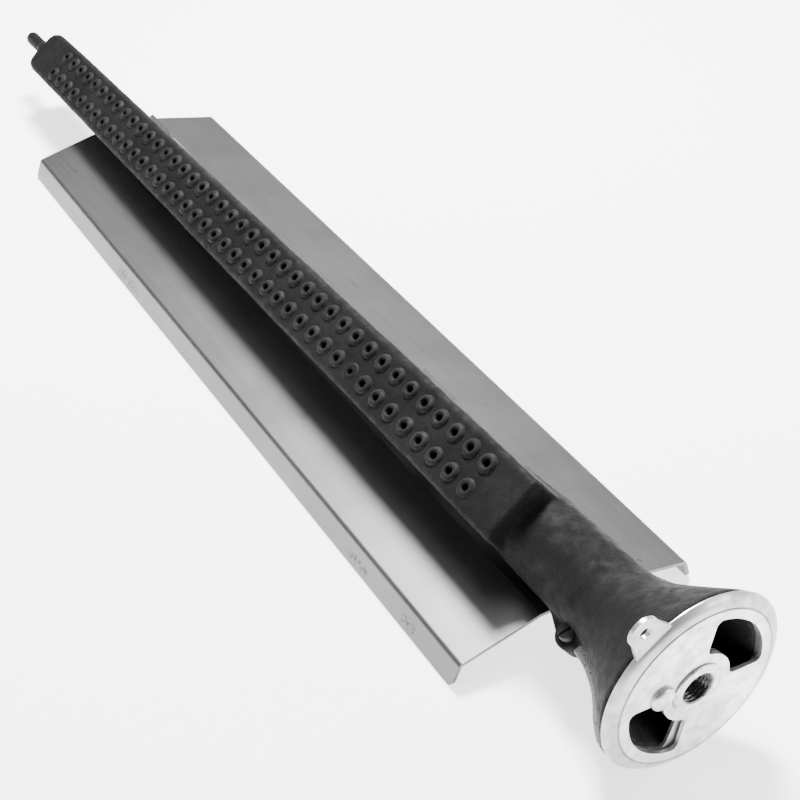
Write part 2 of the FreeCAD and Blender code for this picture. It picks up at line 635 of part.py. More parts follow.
def hub_washer():
    """A plain washer between the fixed plate and the snap ring."""
    return to_plate(ring(vec(0, PLATE_BACK_Y, 0), Y_AXIS, HUB_R + HUB_WASHER_OVER,
                         HUB_R + SCREW_FIT, HUB_WASHER_THICK))


def hub_wave_washer():
    """A thin spring washer between the shutter and the fixed plate, which stops rattle."""
    start = vec(0, PLATE_FRONT_Y - WAVE_WASHER_THICK, 0)
    return to_plate(ring(start, Y_AXIS, HUB_R + WAVE_WASHER_OVER, HUB_R + SCREW_FIT * 2,
                         WAVE_WASHER_THICK))


def hub_retaining_ring():
    """An open snap ring in the hub's groove, with its mouth pointing down."""
    start = vec(0, PLATE_BACK_Y + HUB_WASHER_THICK, 0)
    ring_r = HUB_R + HUB_RING_OVER
    whole = ring(start, Y_AXIS, ring_r, HUB_R - HUB_GROOVE_DEPTH + SCREW_FIT, HUB_RING_THICK)
    first = -QUARTER_TURN - HUB_RING_MOUTH / 2
    mouth = [start, polar(ring_r * 2, first, start.y),
             polar(ring_r * 2, first + HUB_RING_MOUTH, start.y), start]
    gap = Part.Face(Part.makePolygon(mouth)).extrude(vec(0, HUB_RING_THICK, 0))
    return to_plate(whole.cut(gap))


def lock_stack_y():
    """Where the lock screw's washer, nut and tip are, behind the fixed plate."""
    washer_y = PLATE_BACK_Y + BACK_CLEAR
    nut_y = washer_y + LOCK_WASHER_THICK
    return washer_y, nut_y, nut_y + LOCK_NUT_THICK + LOCK_SCREW_OVER


def shutter_lock_screw():
    """A dome-headed screw through the shutter and the fixed plate's track."""
    end_y = lock_stack_y()[2]
    head_y = -SHUTTER_DISH
    edge_y = head_y - LOCK_HEAD_EDGE
    rise = LOCK_HEAD - LOCK_HEAD_EDGE
    dome_r = (LOCK_HEAD_R ** 2 + rise ** 2) / (2 * rise)
    half_way = math.asin(LOCK_HEAD_R / dome_r) / 2
    middle = (dome_r * math.sin(half_way), head_y - LOCK_HEAD + dome_r * (1 - math.cos(half_way)))
    edges = [
        line((0, head_y - LOCK_HEAD), (0, end_y)),
        line((0, end_y), (LOCK_SCREW_R, end_y)),
        line((LOCK_SCREW_R, end_y), (LOCK_SCREW_R, head_y)),
        line((LOCK_SCREW_R, head_y), (LOCK_HEAD_R, head_y)),
        line((LOCK_HEAD_R, head_y), (LOCK_HEAD_R, edge_y)),
        arc((LOCK_HEAD_R, edge_y), middle, (0, head_y - LOCK_HEAD)),
    ]
    screw = spin(edges)
    return to_plate(screw.translated(polar(LOCK_OUT, LOCK_ANGLE, 0)))


def shutter_lock_washer():
    """A washer behind the fixed plate, clear of it, so the screw is drawn loosened."""
    washer_y = lock_stack_y()[0]
    return to_plate(ring(polar(LOCK_OUT, LOCK_ANGLE, washer_y), Y_AXIS, LOCK_WASHER_R,
                         LOCK_SCREW_R + LOCK_SCREW_FIT, LOCK_WASHER_THICK))


def shutter_lock_nut():
    """The nut that draws the lock screw up. It is drawn loosened, so the shutter turns."""
    centre = polar(LOCK_OUT, LOCK_ANGLE, lock_stack_y()[1])
    nut = hexagon(centre, Y_AXIS, LOCK_NUT_ACROSS, LOCK_NUT_THICK)
    hole = cylinder(centre, Y_AXIS, LOCK_SCREW_R + LOCK_SCREW_FIT / 2, LOCK_NUT_THICK)
    return to_plate(nut.cut(hole))


def plate_screws():
    """The four slotted countersunk screws of the fixed plate."""
    screws = []
    for angle in plate_screw_angles():
        screw = plate_screw(angle, 0)
        start = polar(PLATE_SCREW_OUT, angle, PLATE_FRONT_Y)
        slot = box(vec(-PLATE_SCREW_HEAD_R, 0, -SLOT_WIDTH / 2),
                   vec(PLATE_SCREW_HEAD_R, SLOT_DEPTH / 2, SLOT_WIDTH / 2))
        screws.append(to_plate(screw.cut(slot.translated(start))))
    return Part.makeCompound(screws)


def slotted_screw(shank_r, length, head_r, head):
    """A cheese-head screw along +Z: the seat at zero, the head above and the shank below."""
    body = cylinder(vec(0, 0, -length), Z_AXIS, shank_r, length)
    body = body.fuse(cylinder(vec(0, 0, 0), Z_AXIS, head_r, head))
    slot = box(vec(-head_r, -SLOT_WIDTH / 2, head - SLOT_DEPTH), vec(head_r, SLOT_WIDTH / 2, head))
    return body.cut(slot).removeSplitter()


def lug_screw():
    """The slotted screw in the lug, which closes a gas-tapping hole or holds a pilot bracket."""
    screw = slotted_screw(LUG_SCREW_R, LUG_SCREW_LENGTH, LUG_SCREW_HEAD_R, LUG_SCREW_HEAD)
    return to_burner(screw.translated(vec(-LUG_OUT, LUG_Y, LUG_TOP_N)))


def offset_path(points, distance):
    """The path moved sideways by a distance, with mitred corners."""
    moved = []
    for index, (x, z) in enumerate(points):
        before = points[max(index - 1, 0)]
        after = points[min(index + 1, len(points) - 1)]
        normals = []
        for start, end in ((before, (x, z)), ((x, z), after)):
            run = math.hypot(end[0] - start[0], end[1] - start[1])
            if run > 0:
                normals.append(((end[1] - start[1]) / run, (start[0] - end[0]) / run))
        mean = [sum(part) for part in zip(*normals)]
        size = math.hypot(*mean)
        scale = distance / (size / len(normals)) / size
        moved.append((x + mean[0] * scale, z + mean[1] * scale))
    return moved


def deflector_path():
    """The top of the sheet across the deflector, from lip to lip, as (x, z)."""
    bend_z = DEFLECTOR_STRIP_Z - WING_DROP
    lip_grow = CUT_OVER / LIP_DROP
    half = [
        (DEFLECTOR_STRIP_HALF, DEFLECTOR_STRIP_Z),
        (DEFLECTOR_HALF_WIDTH, bend_z),
        (DEFLECTOR_HALF_WIDTH + LIP_FLARE * (1 + lip_grow), bend_z - LIP_DROP * (1 + lip_grow)),
    ]
    left = [(DEFLECTOR_CENTRE_X - x, z) for x, z in reversed(half)]
    return left + [(DEFLECTOR_CENTRE_X + x, z) for x, z in half]


def foot_screw_places():
    """The bracket feet's screws on the deflector's flat strip, as (x, y)."""
    places = []
    for bracket_y in bracket_places():
        for side in (-1, 1):
            places.append((FOOT_SCREW_X, bracket_y + side * FOOT_SCREWS_APART / 2))
    return places


def deflector():
    """One folded sheet: a flat strip, two sloping wings and two flared lips."""
    top = deflector_path()
    under = offset_path(top, DEFLECTOR_SHEET)
    section = [vec(x, DEFLECTOR_START_Y, z) for x, z in top + under[::-1]]
    sheet = Part.Face(Part.makePolygon(section + section[:1])).extrude(vec(0, DEFLECTOR_LENGTH, 0))
    outer = BEND_INNER_R + DEFLECTOR_SHEET
    for path, radius in ((top, outer), (under, BEND_INNER_R)):
        for x, z in path[1:-1]:
            edges = [e for e in edges_along(sheet, Y_AXIS)
                     if math.hypot(e.CenterOfMass.x - x, e.CenterOfMass.z - z) < NEAR_ENOUGH]
            sheet = sheet.makeFillet(radius, edges)
    floor_z = DEFLECTOR_STRIP_Z - WING_DROP - LIP_DROP
    reach = DEFLECTOR_HALF_WIDTH * 2
    waste = box(vec(-reach, DEFLECTOR_START_Y - 1, floor_z - CUT_OVER * 2),
                vec(reach, DEFLECTOR_END_Y + 1, floor_z))
    sheet = sheet.cut(waste)
    corners = [e for e in sheet.Edges if e.Length < DEFLECTOR_SHEET * 2
               and e.BoundBox.ZMax < floor_z + NEAR_ENOUGH and e.BoundBox.YLength < NEAR_ENOUGH]
    sheet = sheet.makeFillet(LIP_CORNER_R, corners)
    holes = [cylinder(vec(x, y, DEFLECTOR_STRIP_Z - CUT_OVER), Z_AXIS,
                      FOOT_SCREW_R + SCREW_FIT, CUT_OVER * 2) for x, y in foot_screw_places()]
    return sheet.cut(holes)


def bracket(bracket_y):
    """A Z-shaped bracket: a leg under the bar, an upright web and a foot on the deflector."""
    low_y = bracket_y - BRACKET_WIDTH / 2
    high_y = bracket_y + BRACKET_WIDTH / 2
    leg = to_burner(box(vec(BRACKET_LEG_U, low_y, BAR_BOTTOM_N - BRACKET_SHEET),
                        vec(BAR_HALF_WIDTH_NEAR, high_y, BAR_BOTTOM_N)))
    web = box(vec(BRACKET_WEB_X, low_y, DEFLECTOR_STRIP_Z),
              vec(BRACKET_WEB_X + BRACKET_SHEET, high_y, DEFLECTOR_HALF_WIDTH))
    over_bar = to_burner(box(vec(-BAR_END_Y, low_y - BRACKET_WIDTH, BAR_BOTTOM_N),
                             vec(BAR_END_Y, high_y + BRACKET_WIDTH, BAR_END_Y)))
    foot = box(vec(BRACKET_WEB_X, low_y, DEFLECTOR_STRIP_Z),
               vec(BRACKET_WEB_X + BRACKET_FOOT, high_y, DEFLECTOR_STRIP_Z + BRACKET_SHEET))
    past_web = box(vec(BRACKET_WEB_X + BRACKET_SHEET, low_y - BRACKET_WIDTH, -DEFLECTOR_HALF_WIDTH),
                   vec(BAR_END_Y, high_y + BRACKET_WIDTH, DEFLECTOR_HALF_WIDTH))
    shape = leg.cut(past_web).fuse([web.cut(over_bar), foot])
    holes = [to_burner(cylinder(vec(BAR_SCREW_U, y, BAR_BOTTOM_N - CUT_OVER), Z_AXIS,
                                BAR_SCREW_R + SCREW_FIT, CUT_OVER * 2)) for y in bar_screw_places()]
    holes += [cylinder(vec(x, y, DEFLECTOR_STRIP_Z - 1), Z_AXIS, FOOT_SCREW_R + SCREW_FIT, CUT_OVER)
              for x, y in foot_screw_places()]
    return shape.cut(holes).removeSplitter()


def bar_screws():
    """The two screws that hold the brackets' legs to the bar's underside."""
    seat_n = BAR_BOTTOM_N - BRACKET_SHEET - BAR_WASHER_THICK
    length = BAR_BOTTOM_N + BAR_WALL - seat_n - BAR_SCREW_SHORT
    screws = []
    for y in bar_screw_places():
        screw = slotted_screw(BAR_SCREW_R, length, BAR_SCREW_HEAD_R, BAR_SCREW_HEAD)
        screw.rotate(vec(0, 0, 0), X_AXIS, HALF_TURN)
        screws.append(to_burner(screw.translated(vec(BAR_SCREW_U, y, seat_n))))
    return Part.makeCompound(screws)


def bar_screw_washers():
    """A washer under the head of each bracket screw."""
    low_n = BAR_BOTTOM_N - BRACKET_SHEET - BAR_WASHER_THICK
    return Part.makeCompound([
        to_burner(ring(vec(BAR_SCREW_U, y, low_n), Z_AXIS, BAR_WASHER_R,
                       BAR_SCREW_R + SCREW_FIT, BAR_WASHER_THICK)) for y in bar_screw_places()])


def foot_stack_z():
    """The undersides of the foot screws' washers and nuts, below the strip."""
    washer_z = DEFLECTOR_STRIP_Z - DEFLECTOR_SHEET - FOOT_WASHER_THICK
    return washer_z, washer_z - FOOT_NUT_THICK


def foot_screws():
    """The slotted screws that hold the brackets' feet to the deflector."""
    seat_z = DEFLECTOR_STRIP_Z + BRACKET_SHEET
    length = seat_z - foot_stack_z()[1] + FOOT_SCREW_OVER
    screw = slotted_screw(FOOT_SCREW_R, length, FOOT_SCREW_HEAD_R, FOOT_SCREW_HEAD)
    return Part.makeCompound([screw.translated(vec(x, y, seat_z)) for x, y in foot_screw_places()])


def foot_washers():
    """A washer under the deflector for each foot screw."""
    washer_z = foot_stack_z()[0]
    return Part.makeCompound([
        ring(vec(x, y, washer_z), Z_AXIS, FOOT_WASHER_R, FOOT_SCREW_R + SCREW_FIT,
             FOOT_WASHER_THICK) for x, y in foot_screw_places()])


def foot_nuts():
    """A nut below each foot screw's washer."""
    nut_z = foot_stack_z()[1]
    nuts = []
    for x, y in foot_screw_places():
        centre = vec(x, y, nut_z)
        hole = cylinder(centre, Z_AXIS, FOOT_SCREW_R + SCREW_FIT / 2, FOOT_NUT_THICK)
        nuts.append(hexagon(centre, Z_AXIS, FOOT_NUT_ACROSS, FOOT_NUT_THICK).cut(hole))
    return Part.makeCompound(nuts)


front_y, rear_y = bracket_places()
NODES = {
    "venturi_casting": venturi_casting(),
    "bar_casting": bar_casting(),
    "core_plug": core_plug(),
    "fixed_air_plate": fixed_air_plate(),
    "plate_screws": plate_screws(),
    "orifice_hub": orifice_hub(),
    "hub_wave_washer": hub_wave_washer(),
    "hub_washer": hub_washer(),
    "hub_retaining_ring": hub_retaining_ring(),
    "air_shutter": air_shutter(),
    "shutter_lock_screw": shutter_lock_screw(),
    "shutter_lock_washer": shutter_lock_washer(),
    "shutter_lock_nut": shutter_lock_nut(),
    "lug_screw": lug_screw(),
    "deflector": deflector(),
    "front_bracket": bracket(front_y),
    "rear_bracket": bracket(rear_y),
    "bar_screws": bar_screws(),
    "bar_screw_washers": bar_screw_washers(),
    "foot_screws": foot_screws(),
    "foot_washers": foot_washers(),
    "foot_nuts": foot_nuts(),
}

os.makedirs("parts", exist_ok=True)
for name, shape in NODES.items():
    if not shape.isValid() or not shape.Solids:
        raise ValueError(f"{name} is not a sound solid")
    shape.exportStep(f"parts/{name}.step")
    low = shape.BoundBox
    print(f"{name}: {len(shape.Solids)} solid(s), {shape.Volume / 1000:.2f} cm3, "
          f"x {low.XMin:.1f}..{low.XMax:.1f} y {low.YMin:.1f}..{low.YMax:.1f} "
          f"z {low.ZMin:.1f}..{low.ZMax:.1f}")
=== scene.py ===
"""Looks of a cast-iron gas bar burner with a rotary air shutter and a folded deflector.

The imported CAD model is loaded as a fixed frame. Each sub-assembly is a class whose fields are its
sizes in millimetres, and each finish is a frozen dataclass that builds its own material.
"""

import json
import logging
import math
from dataclasses import dataclass
from enum import Enum

import bmesh
import bpy
from mathutils import Matrix, Vector, noise


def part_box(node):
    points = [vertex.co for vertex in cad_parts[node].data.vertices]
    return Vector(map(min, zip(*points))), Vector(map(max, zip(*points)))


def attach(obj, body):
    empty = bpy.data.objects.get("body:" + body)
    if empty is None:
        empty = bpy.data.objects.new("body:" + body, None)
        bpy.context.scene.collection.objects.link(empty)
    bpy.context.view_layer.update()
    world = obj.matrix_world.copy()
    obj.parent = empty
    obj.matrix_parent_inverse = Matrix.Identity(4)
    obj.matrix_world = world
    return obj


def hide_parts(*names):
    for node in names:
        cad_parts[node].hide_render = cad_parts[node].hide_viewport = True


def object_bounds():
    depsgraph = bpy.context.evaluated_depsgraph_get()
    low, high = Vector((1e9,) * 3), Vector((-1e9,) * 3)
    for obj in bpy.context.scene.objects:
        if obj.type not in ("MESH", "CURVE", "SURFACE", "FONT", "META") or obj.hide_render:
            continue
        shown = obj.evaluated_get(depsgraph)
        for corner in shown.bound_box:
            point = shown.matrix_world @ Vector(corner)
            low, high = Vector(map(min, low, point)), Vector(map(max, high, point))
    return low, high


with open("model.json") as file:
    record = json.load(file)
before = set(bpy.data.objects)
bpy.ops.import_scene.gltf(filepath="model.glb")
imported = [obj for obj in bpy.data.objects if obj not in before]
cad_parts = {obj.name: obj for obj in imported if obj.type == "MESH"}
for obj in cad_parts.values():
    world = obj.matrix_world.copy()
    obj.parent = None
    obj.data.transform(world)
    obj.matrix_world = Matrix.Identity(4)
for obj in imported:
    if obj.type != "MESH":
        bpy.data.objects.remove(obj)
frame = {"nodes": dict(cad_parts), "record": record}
CAD_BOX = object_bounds()

LOG = logging.getLogger("bar_burner")
MM = 0.001
FULL_TURN = 2 * math.pi

# Stands what is drawn along the Y axis up along Z.
UPRIGHT = Matrix.Rotation(math.radians(90), 4, "X")
STAND_TREE = "stand_on_points"

# Dark rubs that handling leaves on the deflector, each as low x, high x, low y, high y.
LIP_RUBS = ((-52.2, -51.2, 94.5, 104.0), (-52.0, -51.3, 115.5, 118.5), (-52.2, -51.3, 131.0, 146.0),
            (-52.4, -51.0, 362.0, 388.0), (37.6, 40.2, 71.4, 74.2))

Point = tuple[float, float, float]
Profile = list[tuple[float, float]]
Colour = tuple[float, float, float, float]


class Body(Enum):
    """The CAD bodies that a piece can ride on."""

    BURNER = "burner"
    SHUTTER = "shutter"


# ---------------------------------------------------------------------------- frames

@dataclass(frozen=True)
class Attitude:
    """How the burner sits over the level deflector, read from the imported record."""

    pitch: float
    roll: float

    @classmethod
    def from_record(cls, record: dict) -> "Attitude":
        """Works out the pitch from the hinge's axis and the roll from the tail pin's place.

        Args:
            record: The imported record, with its joints and mounts.

        Returns:
            The burner's attitude, in radians.
        """
        axis = record["behaviour"]["joints"][0]["axis"]
        pitch = math.atan2(axis[2], -axis[1])
        pin = next(m for m in record["mounts"] if m["name"] == "tail_pin")["pos_m"]
        level = Matrix.Rotation(pitch, 3, "X") @ Vector(pin)
        return cls(pitch=pitch, roll=math.atan2(-level.x, level.z))

    def plate(self) -> Matrix:
        """Places what is drawn round the burner's axis, in metres: the pitch only."""
        return Matrix.Rotation(-self.pitch, 4, "X")

    def burner(self) -> Matrix:
        """Places what is drawn as u across, y along and n out of the port face."""
        return self.plate() @ Matrix.Rotation(-self.roll, 4, "Y")


# ---------------------------------------------------------------------------- mesh tools

def link_new(name: str, data: bpy.types.ID) -> bpy.types.Object:
    """Makes an object at the origin and puts it in the scene.

    Args:
        name: The object's name.
        data: Its mesh, light or camera.

    Returns:
        The new object.
    """
    made = bpy.data.objects.new(name, data)
    bpy.context.scene.collection.objects.link(made)
    return made


def mesh_object(name: str, points: list[Point], faces: list[tuple[int, ...]],
                place: Matrix | None = None) -> bpy.types.Object:
    """Makes an object from points in millimetres.

    Args:
        name: The object's name.
        points: Its corners, in millimetres.
        faces: Its faces, as corner numbers.
        place: Where it goes in the part's frame, applied to the mesh itself.

    Returns:
        The new object, at the origin, with outward faces.
    """
    mesh = bpy.data.meshes.new(name)
    mesh.from_pydata([Vector(p) * MM for p in points], [], faces)
    if place is not None:
        mesh.transform(place)
    made = link_new(name, mesh)
    face_outwards(made)
    return made


def face_outwards(piece: bpy.types.Object, merge: float = 1e-7) -> None:
    """Merges doubled corners and turns every face of a closed mesh outwards.

    Args:
        piece: The closed piece.
        merge: How close two corners are before they are merged, in metres.
    """
    work = bmesh.new()
    work.from_mesh(piece.data)
    bmesh.ops.remove_doubles(work, verts=work.verts, dist=merge)
    bmesh.ops.recalc_face_normals(work, faces=work.faces)
    work.to_mesh(piece.data)
    work.free()


def grid_faces(rows: int, columns: int, close_rows: bool) -> list[tuple[int, ...]]:
    """The quads between rings of points that lie one after another.

    Args:
        rows: How many rings there are.
        columns: How many points each ring has.
        close_rows: Whether the last ring joins the first.

    Returns:
        The faces, as corner numbers.
    """
    faces = []
    for row in range(rows if close_rows else rows - 1):
        for column in range(columns):
            after, beside = (row + 1) % rows, (column + 1) % columns
            faces.append((row * columns + column, row * columns + beside,
                          after * columns + beside, after * columns + column))
    return faces


def round_axis(radius: float, y: float, turn: float) -> Point:
    """A point at a radius and an angle in radians round the Y axis."""
    return radius * math.cos(turn), y, radius * math.sin(turn)


def lathe(name: str, profile: Profile, segments: int, place: Matrix | None = None,
          centre: Point = (0.0, 0.0, 0.0)) -> bpy.types.Object:
    """Spins a profile of (radius, y) about the Y axis.

    Args:
        name: The object's name.
        profile: Corners of the profile. It is closed unless both ends are on the axis.
        segments: How many steps go round.
        place: Where it goes in the part's frame.
        centre: What the axis is moved by before that, in millimetres.

    Returns:
        A closed solid of revolution.
    """
    on_axis = profile[0][0] == 0 and profile[-1][0] == 0
    points = []
    for radius, y in profile:
        for step in range(segments):
            x, along, z = round_axis(radius, y, FULL_TURN * step / segments)
            points.append((centre[0] + x, centre[1] + along, centre[2] + z))
    return mesh_object(name, points, grid_faces(len(profile), segments, not on_axis), place)


def rod(name: str, radius: float, start_y: float, end_y: float, segments: int,
        place: Matrix | None = None, centre: Point = (0.0, 0.0, 0.0)) -> bpy.types.Object:
    """A plain round rod along the Y axis.

    Args:
        name: The object's name.
        radius: Its radius, in millimetres.
        start_y: Where it starts.
        end_y: Where it ends.
        segments: How many steps go round.
        place: Where it goes in the part's frame.
        centre: What the axis is moved by before that, in millimetres.

    Returns:
        A closed cylinder.
    """
    profile = [(0.0, start_y), (radius, start_y), (radius, end_y), (0.0, end_y)]
    return lathe(name, profile, segments, place, centre)


def loft(name: str, sections: list[list[Point]], place: Matrix | None = None) -> bpy.types.Object:
    """Skins sections of equal corner counts, and caps both ends.

    Args:
        name: The object's name.
        sections: The rings of corners, in order.
        place: Where it goes in the part's frame.

    Returns:
        A closed solid.
    """
    count = len(sections[0])
    points = [point for section in sections for point in section]
    faces = grid_faces(len(sections), count, False)
    last = (len(sections) - 1) * count
    faces.append(tuple(range(count)))
    faces.append(tuple(range(last, last + count)))
    return mesh_object(name, points, faces, place)


def prism(name: str, outline: Profile, start_y: float, thick: float,
          place: Matrix | None = None) -> bpy.types.Object:
    """Stands an outline of (x, z) up along the Y axis."""
    return loft(name, [[(x, y, z) for x, z in outline] for y in (start_y, start_y + thick)], place)


def bake(piece: bpy.types.Object) -> bpy.types.Object:
    """Turns an object with modifiers into a plain mesh, without them.

    Args:
        piece: The object, whose modifiers are used up.

    Returns:
        The same object.
    """
    graph = bpy.context.evaluated_depsgraph_get()
    graph.update()
    result = bpy.data.meshes.new_from_object(piece.evaluated_get(graph))
    piece.modifiers.clear()
    piece.data = result
    return piece


def combine(piece: bpy.types.Object, others: list[bpy.types.Object], how: str) -> bpy.types.Object:
    """Cuts closed solids from a piece, or adds them to it.

    Args:
        piece: The closed solid that is changed.
        others: The closed solids, which are used up.
        how: The Boolean operation, DIFFERENCE or UNION.

    Returns:
        The changed piece.
    """
    for other in others:
        step = piece.modifiers.new("shape", "BOOLEAN")
        step.operation = how
        step.solver = "EXACT"
        step.object = other
    bake(piece)
    for other in others:
        bpy.data.objects.remove(other)
    return piece


def join(name: str, parts: list[bpy.types.Object]) -> bpy.types.Object:
    """Joins objects that stand at the origin into one mesh, shells and all.

    Args:
        name: The new object's name.
        parts: The objects, which are used up.

    Returns:
        The joined object.
    """
    work = bmesh.new()
    for part in parts:
        work.from_mesh(part.data)
        bpy.data.objects.remove(part)
    mesh = bpy.data.meshes.new(name)
    work.to_mesh(mesh)
    work.free()
    return link_new(name, mesh)


def soften(piece: bpy.types.Object, width: float, steps: int = 2, corner: float = 40.0,
           smooth: float = 35.0) -> bpy.types.Object:
    """Rounds the sharp edges of a piece and shades it smooth between them.

    Args:
        piece: The piece.
        width: The width of each rounded edge, in millimetres.
        steps: How many faces make the round.
        corner: The least angle of an edge that is rounded, in degrees.
        smooth: The greatest angle that is shaded smooth, in degrees.

    Returns:
        The same piece, with its modifiers applied.
    """
    round_off = piece.modifiers.new("edges", "BEVEL")
    round_off.width = width * MM
    round_off.segments = steps
    round_off.limit_method = "ANGLE"
    round_off.angle_limit = math.radians(corner)
    bake(piece)
    shade(piece, smooth)
    return piece


def shade(piece: bpy.types.Object, smooth: float = 35.0) -> None:
    """Shades a mesh smooth, but for its sharp edges.

    Args:
        piece: The piece.
        smooth: The greatest angle that is shaded smooth, in degrees.
    """
    for face in piece.data.polygons:
        face.use_smooth = True
    piece.data.set_sharp_from_angle(angle=math.radians(smooth))


def arc_points(centre: tuple[float, float], radius: float, first: float, last: float,
               steps: int) -> Profile:
    """Points of an arc about a centre.

    Args:
        centre: The arc's centre.
        radius: Its radius.
        first: The angle where it starts, in degrees.
        last: The angle where it ends, in degrees.
        steps: How many steps it has.

    Returns:
        One point more than there are steps.
    """
    points = []
    for step in range(steps + 1):
        turn = math.radians(first + (last - first) * step / steps)
        points.append((centre[0] + radius * math.cos(turn), centre[1] + radius * math.sin(turn)))
    return points


def rounded_outline(corners: list[Point], steps: int) -> Profile:
    """Rounds the corners of a polygon.

    Args:
        corners: Each corner as (x, z, radius). A corner with no radius stays sharp.
        steps: How many steps each round has.

    Returns:
        The rounded outline.
    """
    outline = []
    count = len(corners)
    for index, (x, z, radius) in enumerate(corners):
        here = Vector((x, z))
        back = (Vector(corners[index - 1][:2]) - here).normalized()
        ahead = (Vector(corners[(index + 1) % count][:2]) - here).normalized()
        half = back.angle(ahead) / 2
        if radius <= 0 or half < 1e-3:
            outline.append((x, z))
            continue
        middle = here + (back + ahead).normalized() * radius / math.sin(half)
        start = here + back * radius / math.tan(half) - middle
        sweep = start.angle_signed(here + ahead * radius / math.tan(half) - middle)
        for step in range(steps + 1):
            spot = middle + Matrix.Rotation(-sweep * step / steps, 2) @ start
            outline.append((spot.x, spot.y))
    return outline


# ---------------------------------------------------------------------------- materials

def linear(code: str) -> Colour:
    """Turns an sRGB hex colour into linear values.

    Args:
        code: Six hex digits after a #.

    Returns:
        Red, green, blue and an alpha of one.
    """
    values = []
    for place in (1, 3, 5):
        share = int(code[place:place + 2], 16) / 255
        values.append(share / 12.92 if share <= 0.04045 else ((share + 0.055) / 1.055) ** 2.4)
    return (*values, 1.0)


def add(tree: bpy.types.NodeTree, kind: str, settings: dict | None = None,
        links: dict | None = None) -> bpy.types.Node:
    """Adds a node to a tree.

    Args:
        tree: The shader or geometry tree.
        kind: The node's type.
        settings: Its properties by name, and its input values by name or number.
        links: Which output socket feeds each of its inputs.

    Returns:
        The new node.
    """
    node = tree.nodes.new(kind)
    for key, value in (settings or {}).items():
        if isinstance(key, str) and hasattr(node, key):
            setattr(node, key, value)
        else:
            node.inputs[key].default_value = value
    for key, socket in (links or {}).items():
        tree.links.new(socket, node.inputs[key])
    return node


def per_metre(size_mm: float) -> float:
    """The scale of a noise whose features are this many millimetres across."""
    return 1.0 / (size_mm * MM)


